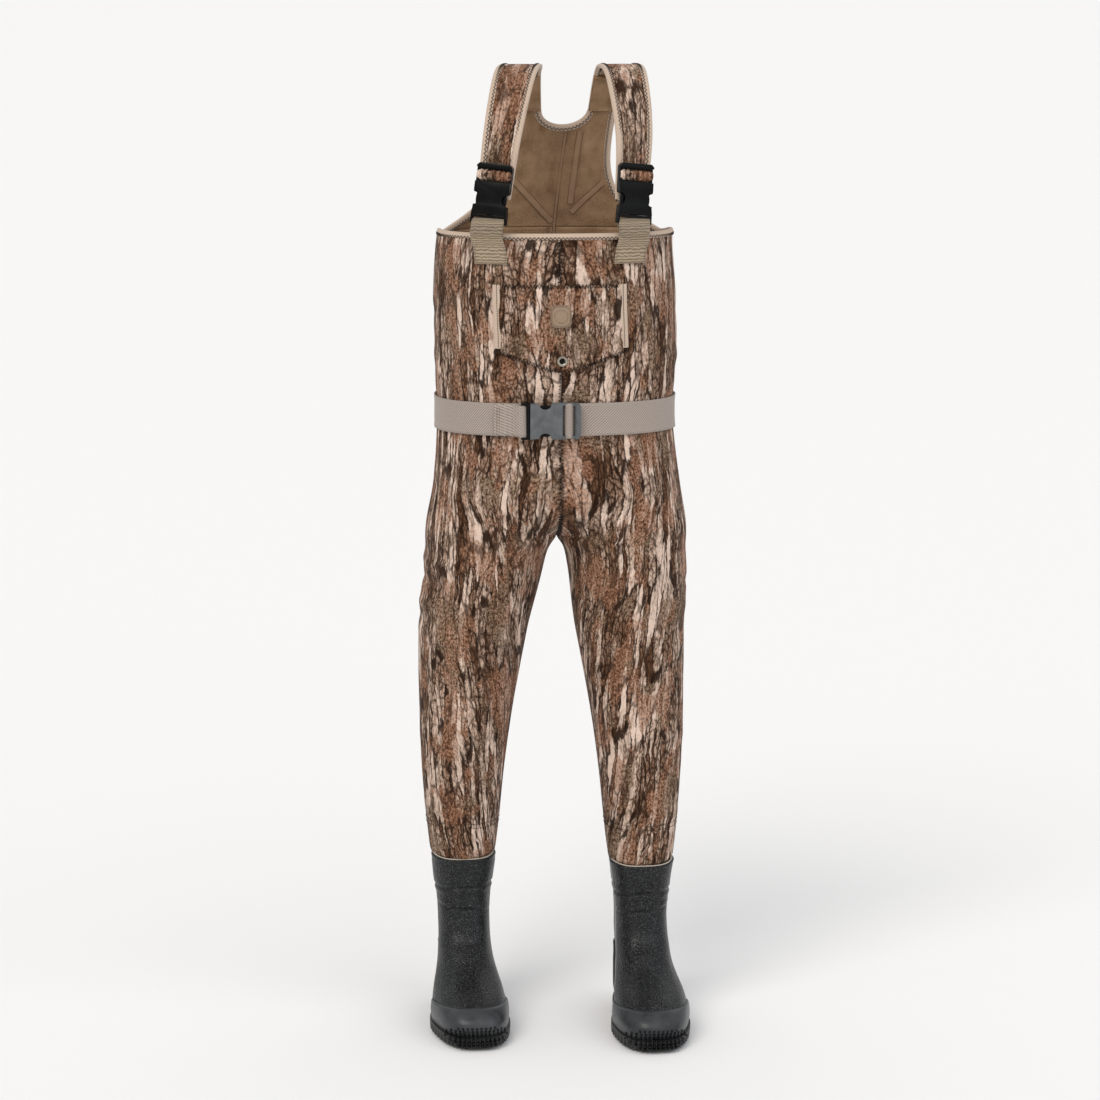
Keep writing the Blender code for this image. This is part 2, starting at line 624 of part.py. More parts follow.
BOOT_LEVELS = (            # height, toe, heel, half width at the ball, half width at the heel
    (SOLE_THICKNESS + GAP, -0.213, 0.064, 0.0590, 0.0425),
    (0.038, -0.215, 0.067, 0.0605, 0.0445),
    (0.052, -0.204, 0.068, 0.0590, 0.0440),
    (0.066, -0.178, 0.067, 0.0555, 0.0430),
    (0.080, -0.140, 0.065, 0.0505, 0.0415),
    (0.096, -0.104, 0.061, 0.0460, 0.0400),
    (0.116, -0.078, 0.057, 0.0435, 0.0410),
)
SHAFT_LEVELS = (           # height, half width, front, back
    (0.1163, 0.0435, -0.078, 0.057),
    (0.140, 0.0425, -0.062, 0.054),
    (0.170, 0.0425, -0.054, 0.053),
    (0.210, 0.0455, -0.053, 0.053),
    (BOOT_TOP_Z, 0.0508, -0.0565, 0.0565),
)


def boot_rings(levels, inset, side):
    rings = []
    for index, (z, toe, heel, ball, back) in enumerate(levels):
        share = index / (len(levels) - 1)
        outline = foot_outline(share, toe, heel, ball, back, inset, side)
        rings.append([Vector((x, y, z)) for x, y in outline])
    return rings


def shaft_rings(inset, side, low=0.0, high=0.0):
    rings = []
    for index, (z, half, front, back) in enumerate(SHAFT_LEVELS):
        outline = foot_outline(1.0, front, back, half, half, inset, side)
        z += -low if index == 0 else (high if index == len(SHAFT_LEVELS) - 1 else 0.0)
        rings.append([Vector((x, y, z)) for x, y in outline])
    return rings


def build_boot(word, side, parent):
    """Outsole, foot shell with toe cap and heel counter, insole and the flexible shaft."""
    place = Matrix.Translation((side * through(LEG_CENTRE, SHIN_Z[1]), -side * STEP, 0))
    place = place @ Matrix.Rotation(math.radians(BOOT_TURN_DEG[word]), 4, "Z")
    sole = []
    for z, grow in ((0.0, 0.0), (0.006, 0.003), (SOLE_THICKNESS, 0.004)):
        toe, heel = BOOT_TOE_Y + 0.012 - 4 * grow, BOOT_HEEL_Y - 0.004 + grow
        outline = foot_outline(0.0, toe, heel, HALF_BALL + grow,
                               HALF_HEEL + grow, 0.0, side)
        sole.append([Vector((x, y, z)) for x, y in outline])
    object_from(loft(sole), f"{word}_outsole", "tread_rubber", parent, place)

    upper = loft(boot_rings(BOOT_LEVELS, 0.0, side))
    foot = object_from(upper, f"{word}_boot_foot", "black_rubber", parent, place)
    inner = boot_rings(BOOT_LEVELS, RUBBER + 0.001, side)
    floor = SOLE_THICKNESS + 0.006
    for point in inner[0]:
        point.z = floor
    above = [point + Vector((0, 0, 0.02)) for point in inner[-1]]
    combine(foot, loft(inner + [above]), "DIFFERENCE")

    outline = foot_outline(0.2, -0.199, 0.052, 0.0515, 0.0320, 0.0, side, 20)
    object_from(plate(outline, floor + GAP, floor + 0.005), f"{word}_insole", "insole_felt", parent, place)

    shaft = object_from(loft(shaft_rings(0.0, side)), f"{word}_boot_shaft", "black_rubber", parent, place)
    combine(shaft, loft(shaft_rings(RUBBER, side, 0.01, 0.01)), "DIFFERENCE")

    inside = boot_rings(BOOT_LEVELS, -GAP, side)
    for point in inside[0]:
        point.z -= 0.01
    for name, levels, low, high in (("toe_cap", BOOT_LEVELS[:5], -0.30, -0.135),
                                    ("heel_counter", BOOT_LEVELS, 0.018, 0.10)):
        grown = loft(boot_rings(levels, -0.0035, side))
        shell = object_from(grown, f"{word}_{name}", "black_rubber", parent, place)
        combine(shell, block((0.2, high - low, 0.3), (0, (low + high) / 2, 0.1)), "INTERSECT")
        combine(shell, loft(inside), "DIFFERENCE")


# ---- assembly ----------------------------------------------------------------------------------
def main():
    for old in list(bpy.data.objects):
        bpy.data.objects.remove(old, do_unlink=True)
    waders = bpy.data.objects.new("waders", None)
    bpy.context.scene.collection.objects.link(waders)
    waders.location = (0, CENTRE_Y, 0)

    build_body(waders)
    build_yoke(waders)
    build_straps(waders)
    build_rim_binding(waders)
    build_edge_bindings(waders)
    build_pocket(waders)
    build_belt(waders)
    build_belt_loop(waders)
    for word, side in SIDES.items():
        matrix = shoulder_matrix(side)
        build_buckle(word, (("inner", -side), ("outer", side)), "camo_neoprene", waders, matrix)
        build_tab(word, side, waders, matrix)
        build_boot(word, side, waders)
    build_buckle("belt", (("upper", -1), ("lower", 1)), "grey_webbing", waders, belt_matrix())


main()
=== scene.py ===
import bpy
import bmesh
import math
from mathutils import Matrix, Vector, noise


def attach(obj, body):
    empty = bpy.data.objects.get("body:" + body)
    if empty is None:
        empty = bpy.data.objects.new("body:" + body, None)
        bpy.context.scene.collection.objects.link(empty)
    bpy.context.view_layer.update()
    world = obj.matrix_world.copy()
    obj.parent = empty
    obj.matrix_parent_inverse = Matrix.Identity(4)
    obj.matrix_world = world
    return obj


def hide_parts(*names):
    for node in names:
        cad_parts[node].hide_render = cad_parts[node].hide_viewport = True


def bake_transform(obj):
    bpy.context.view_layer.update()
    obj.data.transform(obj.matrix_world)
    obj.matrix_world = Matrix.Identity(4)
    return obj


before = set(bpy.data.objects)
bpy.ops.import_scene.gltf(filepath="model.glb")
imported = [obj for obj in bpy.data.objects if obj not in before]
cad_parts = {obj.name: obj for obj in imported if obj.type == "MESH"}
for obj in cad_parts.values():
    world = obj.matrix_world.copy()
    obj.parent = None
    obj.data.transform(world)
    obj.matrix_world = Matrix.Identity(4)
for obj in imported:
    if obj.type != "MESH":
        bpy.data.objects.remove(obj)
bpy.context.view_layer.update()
sides = {"left": 1, "right": -1}   # the wearer's left is +X
print("frame loaded:", len(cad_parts), "nodes")

studio = {"lens": 109.3, "distance": 5.088, "height": 1.6387, "lookDown": 9.856, "turn": -3.948,
          "aside": -0.0056, "floorColour": "#f5f5f5", "worldStrength": 0.545,
          "suns": (("keySoftbox", -32, 46, 1.38, 32, "#fffaf3"), ("fillSoftbox", 40, 36, 0.64, 60, "#f4f8ff"),
                   ("backSoftbox", 170, 55, 0.28, 60, "#ffffff"))}


def linear(code, alpha=1.0):
    parts = [int(code[i:i + 2], 16) / 255 for i in (1, 3, 5)]
    return (*[c / 12.92 if c <= 0.04045 else ((c + 0.055) / 1.055) ** 2.4 for c in parts], alpha)


def addNode(tree, kind, inputs=None, **settings):
    node = tree.nodes.new(kind)
    for key, value in settings.items():
        setattr(node, key, value)
    for key, value in (inputs or {}).items():
        if isinstance(value, bpy.types.NodeSocket):
            tree.links.new(value, node.inputs[key])
        else:
            node.inputs[key].default_value = value
    return node


def newFinish(name, **sockets):
    made = bpy.data.materials.new(name)
    made.use_nodes = True
    shader = made.node_tree.nodes["Principled BSDF"]
    for key, value in sockets.items():
        shader.inputs[key.replace("_", " ")].default_value = value
    return made, made.node_tree, shader


def rampOf(tree, factor, stops):
    ramp = addNode(tree, "ShaderNodeValToRGB", {0: factor})
    elements = ramp.color_ramp.elements
    while len(elements) < len(stops):
        elements.new(0.5)
    for element, (at, code) in zip(elements, stops):
        element.position = at
        element.color = linear(code) if isinstance(code, str) else (code, code, code, 1)
    return ramp.outputs[0]


def buildStudio():
    s = studio
    turn = math.radians(s["turn"])
    right, ahead = Vector((math.cos(turn), math.sin(turn), 0)), Vector((-math.sin(turn), math.cos(turn), 0))
    camera = bpy.data.objects.new("camera", bpy.data.cameras.new("camera"))
    bpy.context.scene.collection.objects.link(camera)
    camera.data.lens = s["lens"]
    camera.location = right * s["aside"] - ahead * s["distance"] + Vector((0, 0, s["height"]))
    camera.rotation_euler = (math.radians(90 - s["lookDown"]), 0, turn)
    bpy.context.scene.camera = camera
    for name, compass, height, strength, spread, tint in s["suns"]:
        lamp = bpy.data.lights.new(name, "SUN")
        lamp.energy = strength
        lamp.angle = math.radians(spread)
        lamp.color = linear(tint)[:3]
        holder = bpy.data.objects.new(name, lamp)
        side, up = math.radians(compass), math.radians(height)
        source = Vector((math.sin(side) * math.cos(up), -math.cos(side) * math.cos(up), math.sin(up)))
        holder.rotation_euler = source.to_track_quat("Z", "Y").to_euler()
        bpy.context.scene.collection.objects.link(holder)
    world = bpy.data.worlds.new("paleRoom")
    world.use_nodes = True
    world.node_tree.nodes["Background"].inputs[0].default_value = linear("#ffffff")
    world.node_tree.nodes["Background"].inputs[1].default_value = s["worldStrength"]
    bpy.context.scene.world = world
    bpy.context.scene.view_settings.view_transform = "Standard"
    bm = bmesh.new()
    bmesh.ops.create_grid(bm, x_segments=1, y_segments=1, size=600)
    floorMesh = bpy.data.meshes.new("paperFloor")
    bm.to_mesh(floorMesh)
    bm.free()
    paper, _, shader = newFinish("paperSweep", Roughness=0.95)
    shader.inputs["Base Color"].default_value = linear(s["floorColour"])
    floorMesh.materials.append(paper)
    floor = bpy.data.objects.new("paperFloor", floorMesh)
    bpy.context.scene.collection.objects.link(floor)


def curveThrough(stops, at):
    if at <= stops[0][0]:
        return stops[0][1]
    if at >= stops[-1][0]:
        return stops[-1][1]
    i = max(k for k in range(len(stops) - 1) if stops[k][0] <= at)
    (x0, y0), (x1, y1) = stops[i], stops[i + 1]

    def slope(k):
        if k in (0, len(stops) - 1):
            return 0.0 if k == 0 else (y1 - y0) / (x1 - x0)
        return (stops[k + 1][1] - stops[k - 1][1]) / (stops[k + 1][0] - stops[k - 1][0])

    t, span = (at - x0) / (x1 - x0), x1 - x0
    return ((2 * t ** 3 - 3 * t ** 2 + 1) * y0 + (t ** 3 - 2 * t ** 2 + t) * span * slope(i)
            + (3 * t ** 2 - 2 * t ** 3) * y1 + (t ** 3 - t ** 2) * span * slope(i + 1))


def ease(value, low, high):
    t = min(1.0, max(0.0, (value - low) / (high - low)))
    return t * t * (3 - 2 * t)


def bump(value, centre, width):
    return math.exp(-((value - centre) / width) ** 2)


def makeObject(name, bm, finishes, body=None, replaces=(), smooth=45):
    mesh = bpy.data.meshes.new(name)
    bm.to_mesh(mesh)
    bm.free()
    for finish in finishes:
        mesh.materials.append(finish)
    mesh.shade_smooth()
    mesh.set_sharp_from_angle(angle=math.radians(smooth))
    piece = bpy.data.objects.new(name, mesh)
    bpy.context.scene.collection.objects.link(piece)
    if body:
        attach(piece, body)
    if replaces:
        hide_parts(*replaces)
    return piece


def clothGrid(shape, across, down, uvOf, away, lift=None):
    # a cloth grid laid over shape(a, b), raised by lift(a, b); its outer face looks along away(point)
    bm = bmesh.new()
    layer = bm.loops.layers.uv.new("print")
    bmesh.ops.create_grid(bm, x_segments=across, y_segments=down, size=0.5, calc_uvs=True)
    spot = {v: (v.co.x + 0.5, 0.5 - v.co.y) for v in bm.verts}
    tiny = 2e-4
    for v, (a, b) in spot.items():
        v.co = shape(a, b)
        if lift:
            ahead = shape(min(1, a + tiny), b) - shape(max(0, a - tiny), b)
            # where the grid closes on itself
            if (a < 1e-5 or a > 1 - 1e-5) and (shape(0, b) - shape(1, b)).length < 4e-4:
                v.co = shape(0, b)
                ahead = shape(tiny, b) - shape(1 - tiny, b)
            below = shape(a, min(1, b + tiny)) - shape(a, max(0, b - tiny))
            out = ahead.cross(below).normalized()
            v.co += out * math.copysign(1, out.dot(away(v.co))) * lift(a, b)
    for face in bm.faces:
        for loop in face.loops:
            loop[layer].uv = uvOf(*spot[loop.vert])
    bmesh.ops.remove_doubles(bm, verts=bm.verts, dist=2e-5)
    bm.normal_update()
    if sum(f.normal.dot(away(f.calc_center_median())) * f.calc_area() for f in bm.faces) < 0:
        bmesh.ops.reverse_faces(bm, faces=bm.faces)
    return bm


def forwards(point):
    return Vector((0, -1, 0))


def backwards(point):
    return Vector((0, 1, 0))


def fromMiddle(point):
    return Vector((point.x, point.y - cut["centreY"], 0))


def thicken(piece, thickness, offset=-1.0, inside=0):
    # gives a sheet its depth; with offset -1 the sheet stays the outer face
    solid = piece.modifiers.new("thickness", "SOLIDIFY")
    solid.thickness = thickness
    solid.offset = offset
    solid.material_offset = inside
    solid.use_even_offset = True
    return piece


def tubeMesh(rings, closed=False):
    # a skin over rings of points, its ends filled unless it closes on itself
    count, length = len(rings[0]), len(rings)
    bm = bmesh.new()
    layer = bm.loops.layers.uv.new("print")
    bmesh.ops.create_grid(bm, x_segments=count, y_segments=length - 1 + closed, size=0.5, calc_uvs=True)
    spot = {v: (round((v.co.x + 0.5) * count), round((0.5 - v.co.y) * (length - 1 + closed)))
            for v in bm.verts}
    run = [0.0]
    for a, b in zip(rings, rings[1:] + rings[:1]):
        run.append(run[-1] + (a[0] - b[0]).length)
    girth = sum((p - q).length for p, q in zip(rings[0], rings[0][1:] + rings[0][:1])) / count
    for v, (i, j) in spot.items():
        v.co = rings[j % length][i % count]
    for face in bm.faces:
        for loop in face.loops:
            i, j = spot[loop.vert]
            loop[layer].uv = (i * girth, run[j])
    bmesh.ops.remove_doubles(bm, verts=bm.verts, dist=1e-6)
    if not closed:
        bmesh.ops.holes_fill(bm, edges=bm.edges, sides=0)
    bmesh.ops.recalc_face_normals(bm, faces=bm.faces)
    return bm


def threadPiece(name, runs, thick, finish, body):
    # sewing thread lying in short runs, each a few points long
    curve = bpy.data.curves.new(name, "CURVE")
    curve.dimensions = "3D"
    curve.bevel_depth = thick / 2
    curve.bevel_resolution = 0
    curve.use_fill_caps = True
    for points in runs:
        spline = curve.splines.new("POLY")
        spline.points.add(len(points) - 1)
        for target, point in zip(spline.points, points):
            target.co = (*point, 1)
    holder = bpy.data.objects.new(name + "Curve", curve)
    bpy.context.scene.collection.objects.link(holder)
    mesh = bpy.data.meshes.new_from_object(holder)
    bpy.data.objects.remove(holder)
    mesh.name = name
    mesh.materials.clear()
    mesh.materials.append(finish)
    mesh.shade_smooth()
    piece = bpy.data.objects.new(name, mesh)
    bpy.context.scene.collection.objects.link(piece)
    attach(piece, body)
    return piece


def evenly(points, step):
    # points at even steps along a path
    run = [0.0]
    for a, b in zip(points, points[1:]):
        run.append(run[-1] + (a - b).length)
    count = max(1, round(run[-1] / step))
    out, k = [], 0
    for i in range(count + 1):
        want = run[-1] * i / count
        while k < len(points) - 2 and run[k + 1] < want:
            k += 1
        gap = run[k + 1] - run[k]
        out.append(points[k].lerp(points[k + 1], (want - run[k]) / gap if gap else 0.0))
    return out


def zigzag(points, sideways, pitch, width, lift=0.0):
    # one run of thread, crossing from side to side of a path; sideways(point) gives (across, out)
    run = []
    for i, p in enumerate(evenly(points, pitch / 2)):
        across, out = sideways(p)
        run.append(p + across * width / 2 * (1 if i % 2 else -1) + out * lift)
    return [run]


def dashes(points, pitch, share, out, lift):
    # a straight stitch: short dashes with gaps between
    fine = evenly(points, pitch / 4)
    runs = []
    for i in range(0, len(fine) - 4, 4):
        a, b = fine[i], fine[i].lerp(fine[i + 4], share)
        middle = a.lerp(b, 0.5) + out(a) * lift
        runs.append([a, middle, b])
    return runs


cut = {
    "centreY": 0.054, "rim": 1.240, "belt": 0.968, "riseTop": 0.860, "crotch": 0.772,
    "thighLine": 0.607, "hem": 0.2430, "step": 0.016, "neckZ": 1.400, "yokeTop": 1.425, "crest": 1.499,
    "fabric": 0.0048,
    "bootTop": {1: 0.2625, -1: 0.2700},
    "lean": ((0.62, 0.0), (0.72, 0.006), (0.85, 0.008), (0.968, 0.005), (1.06, 0.007), (1.16, 0.004),
             (1.25, 0.006), (1.45, 0.030)),
    "halfWidth": ((0.756, 0.204), (0.827, 0.195), (0.906, 0.186), (0.968, 0.183), (1.06, 0.186),
                  (1.14, 0.187), (1.25, 0.180), (1.45, 0.160)),
    "front": ((0.756, 0.108), (0.83, 0.120), (0.906, 0.129), (0.968, 0.131), (1.06, 0.138),
              (1.14, 0.139), (1.25, 0.130), (1.45, 0.110)),
    "back": ((0.756, 0.122), (0.83, 0.134), (0.906, 0.128), (0.968, 0.120), (1.06, 0.120),
             (1.14, 0.126), (1.25, 0.130), (1.36, 0.118), (1.45, 0.085)),
    "legCentre": ((0.20, 0.140), (0.298, 0.140), (0.411, 0.1385), (0.509, 0.133), (0.668, 0.1185),
                  (0.725, 0.112), (0.752, 0.1075), (0.772, 0.102), (0.90, 0.102)),
    "legHalfWidth": ((0.20, 0.0445), (0.233, 0.0475), (0.298, 0.056), (0.411, 0.066), (0.509, 0.0745),
                     (0.668, 0.0895), (0.725, 0.0935), (0.752, 0.096), (0.772, 0.102), (0.90, 0.102)),
    "legHalfDepth": ((0.20, 0.050), (0.233, 0.053), (0.298, 0.063), (0.411, 0.074), (0.509, 0.081),
                     (0.668, 0.101), (0.756, 0.113), (0.90, 0.113)),
}
centre = Vector((0, cut["centreY"], 0))


def leanAt(z):
    return curveThrough(cut["lean"], z)


def trunkPoint(turn, z, lift=0.0):
    # turn runs from the front, 0, past the wearer's left side to the back, pi
    turn = (turn + math.pi) % (2 * math.pi) - math.pi
    share = 2 / 2.4
    across = abs(math.sin(turn)) ** share
    along = math.copysign(abs(math.cos(turn)) ** share, math.cos(turn))
    wide = curveThrough(cut["halfWidth"], z)
    deep = curveThrough(cut["front" if along > 0 else "back"], z)
    point = Vector((math.copysign(across, turn) * wide, -along * deep, z))
    if lift:
        point += Vector((point.x / wide ** 2, point.y / deep ** 2, 0)).normalized() * lift
    point.x += leanAt(z)
    return point + centre


def turnOf(x, z):
    return math.copysign(math.asin(min(1.0, abs(x) / curveThrough(cut["halfWidth"], z)) ** 1.2), x)


def chestPoint(x, z, lift=0.0):
    return trunkPoint(turnOf(x, z), z, lift)


def backPoint(x, z, lift=0.0):
    return trunkPoint(math.pi - turnOf(x, z), z, lift)


def legY(side, z):
    return -side * cut["step"] * ease(cut["crotch"] - z, 0.0, cut["crotch"] - 0.245)


def trouserPoint(side, around, z):
    # one half: around runs from the front seam, 0, past the outer side to the back seam, 1
    rise = min(1.0, max(0.0, (cut["riseTop"] - z) / (cut["riseTop"] - cut["crotch"]))) * math.pi / 2
    legShare = 1 - math.cos(rise)
    shift = leanAt(z)
    trunk = trunkPoint(math.pi * around, z) - centre
    trunk.x -= shift
    level = min(z, cut["crotch"])
    wide, turn = curveThrough(cut["legHalfWidth"], level), 2 * math.pi * around
    leg = Vector((curveThrough(cut["legCentre"], level) - wide * math.cos(turn),
                  legY(side, z) - curveThrough(cut["legHalfDepth"], level) * math.sin(turn), z))
    point = trunk.lerp(leg, legShare)
    point.y *= 1 + 0.13 * math.sin(math.pi * legShare)
    if cut["crotch"] < z < cut["riseTop"]:
        seamZ = cut["riseTop"] - (cut["riseTop"] - cut["crotch"]) * math.sin(rise)
        point.z += (seamZ - z) * abs(2 * around - 1) ** 4
    return Vector((side * point.x + shift, point.y, point.z)) + centre


girths = {}


def girthAt(z):
    # length round one half at this height, so that the print keeps its size
    key = round(z, 2)
    if key not in girths:
        ring = [trouserPoint(1, i / 24, key) for i in range(25)]
        girths[key] = sum((a - b).length for a, b in zip(ring, ring[1:]))
    return girths[key]


def printAt(side, around, z):
    low = math.floor(z * 100) / 100
    girth = girthAt(low) + (girthAt(low + 0.01) - girthAt(low)) * (z - low) * 100
    return (side * (around - 0.5) * girth + (0.0 if side > 0 else 2.37), z)


# Folds worn into the cloth: side, place around, height, half length around, half height, tilt, depth
folds = (
    (-1, 0.40, 0.735, 0.17, 0.008, 0.05, 0.0030), (-1, 0.46, 0.705, 0.13, 0.009, 0.10, -0.0030),
    (-1, 0.38, 0.672, 0.15, 0.008, -0.05, 0.0032), (-1, 0.44, 0.645, 0.12, 0.009, 0.04, -0.0028),
    (-1, 0.30, 0.610, 0.14, 0.008, 0.12, 0.0022), (1, 0.36, 0.665, 0.12, 0.009, -0.10, 0.0022),
    (1, 0.45, 0.700, 0.12, 0.008, -0.08, -0.0020), (-1, 0.08, 0.810, 0.07, 0.006, 0.55, 0.0026),
    (1, 0.08, 0.806, 0.07, 0.006, 0.55, 0.0026), (-1, 0.10, 0.775, 0.08, 0.006, 0.35, -0.0022),
    (1, 0.10, 0.778, 0.08, 0.006, 0.35, -0.0022), (-1, 0.25, 0.470, 0.16, 0.010, 0.05, 0.0024),
    (1, 0.25, 0.462, 0.16, 0.010, -0.05, 0.0024), (-1, 0.28, 0.440, 0.14, 0.009, -0.04, -0.0022),
    (1, 0.22, 0.432, 0.14, 0.009, 0.06, -0.0022), (-1, 0.75, 0.455, 0.16, 0.010, 0.0, 0.0030),
    (1, 0.75, 0.455, 0.16, 0.010, 0.0, 0.0030), (-1, 0.75, 0.425, 0.14, 0.009, 0.05, -0.0026),
    (1, 0.75, 0.425, 0.14, 0.009, -0.05, -0.0026), (-1, 0.90, 0.800, 0.10, 0.010, -0.35, 0.0034),
    (1, 0.90, 0.800, 0.10, 0.010, -0.35, 0.0034), (-1, 0.48, 1.05, 0.08, 0.012, 0.3, 0.0020),
    (1, 0.48, 1.05, 0.08, 0.012, -0.3, 0.0020), (-1, 0.52, 1.12, 0.08, 0.012, -0.3, -0.0018),
    (1, 0.52, 1.13, 0.08, 0.012, 0.3, -0.0018), (-1, 0.25, 0.335, 0.20, 0.008, 0.05, 0.0016),
    (1, 0.25, 0.335, 0.20, 0.008, -0.05, 0.0016),
)


def foldLift(side, around, z):
    total = 0.0
    for s, a, height, halfLong, halfHigh, tilt, depth in folds:
        if s == side and abs(z - height) < 0.09:
            away = around - a
            total += depth * bump(away, 0, halfLong) * bump(z - height - tilt * away * 0.5, 0, halfHigh)
    p = Vector((side * around * 7, z * 9, side * 3.1))
    calm = 1 - 0.8 * bump(z, cut["belt"], 0.03)
    return total + calm * (0.0011 * noise.noise(p) + 0.0005 * noise.noise(p * 2.7))


def seamDip(around, z):
    # cloth pulls in at its sewn lines: centre front and back, outer side, shin band
    dip = 0.0011 * (bump(around, 0.5, 0.006) if z > cut["belt"] else 0)
    if z > cut["crotch"]:
        dip += 0.0013 * (bump(around, 0.0, 0.008) + bump(around, 1.0, 0.008))
    dip += 0.0012 * bump(z, 0.315, 0.003)
    dip += 0.0016 * bump(z, cut["belt"], 0.024) - 0.0006 * bump(z, cut["belt"] + 0.045, 0.02)
    return -dip


# Neoprene faced with knitted polyester, heat-printed with a bark pattern: matt, a soft nap at grazing angles,
# long pale strips with thin dark clefts, and rust lichen patches that break up the outline.
barkPrint = {"stripWide": 0.0094, "stripLong": 0.115, "speckle": 0.0030, "wale": 0.0012,
             "cleft": "#1e1007", "dark": "#5d4230", "mid": "#917460", "pale": "#c4aa97", "bright": "#e0c7b6",
             "rust": "#9f7258", "rustDark": "#3b2114", "moss": "#86705a"}


def mixColour(tree, factor, first, second, blend="MIX"):
    node = addNode(tree, "ShaderNodeMix", {0: factor}, data_type="RGBA", blend_type=blend)
    for index, value in ((6, first), (7, second)):
        if isinstance(value, bpy.types.NodeSocket):
            tree.links.new(value, node.inputs[index])
        else:
            node.inputs[index].default_value = linear(value)
    return node.outputs[2]


def mathOf(tree, operation, first, second=0.5, third=None, clamp=False):
    inputs = {0: first, 1: second}
    if third is not None:
        inputs[2] = third
    return addNode(tree, "ShaderNodeMath", inputs, operation=operation, use_clamp=clamp).outputs[0]


def printCoords(tree, scale, name="print", offset=(0, 0, 0)):
    uv = addNode(tree, "ShaderNodeUVMap", uv_map=name)
    return addNode(tree, "ShaderNodeMapping", {0: uv.outputs[0], 1: offset, 3: scale}).outputs[0]


def noiseOf(tree, vector, scale=1.0, detail=2.0, roughness=0.5, output=0):
    return addNode(tree, "ShaderNodeTexNoise", {"Vector": vector, "Scale": scale, "Detail": detail,
                                                "Roughness": roughness}).outputs[output]


def bumpOf(tree, shader, height, strength, distance):
    node = addNode(tree, "ShaderNodeBump", {"Strength": strength, "Distance": distance, "Height": height})
    tree.links.new(node.outputs[0], shader.inputs["Normal"])


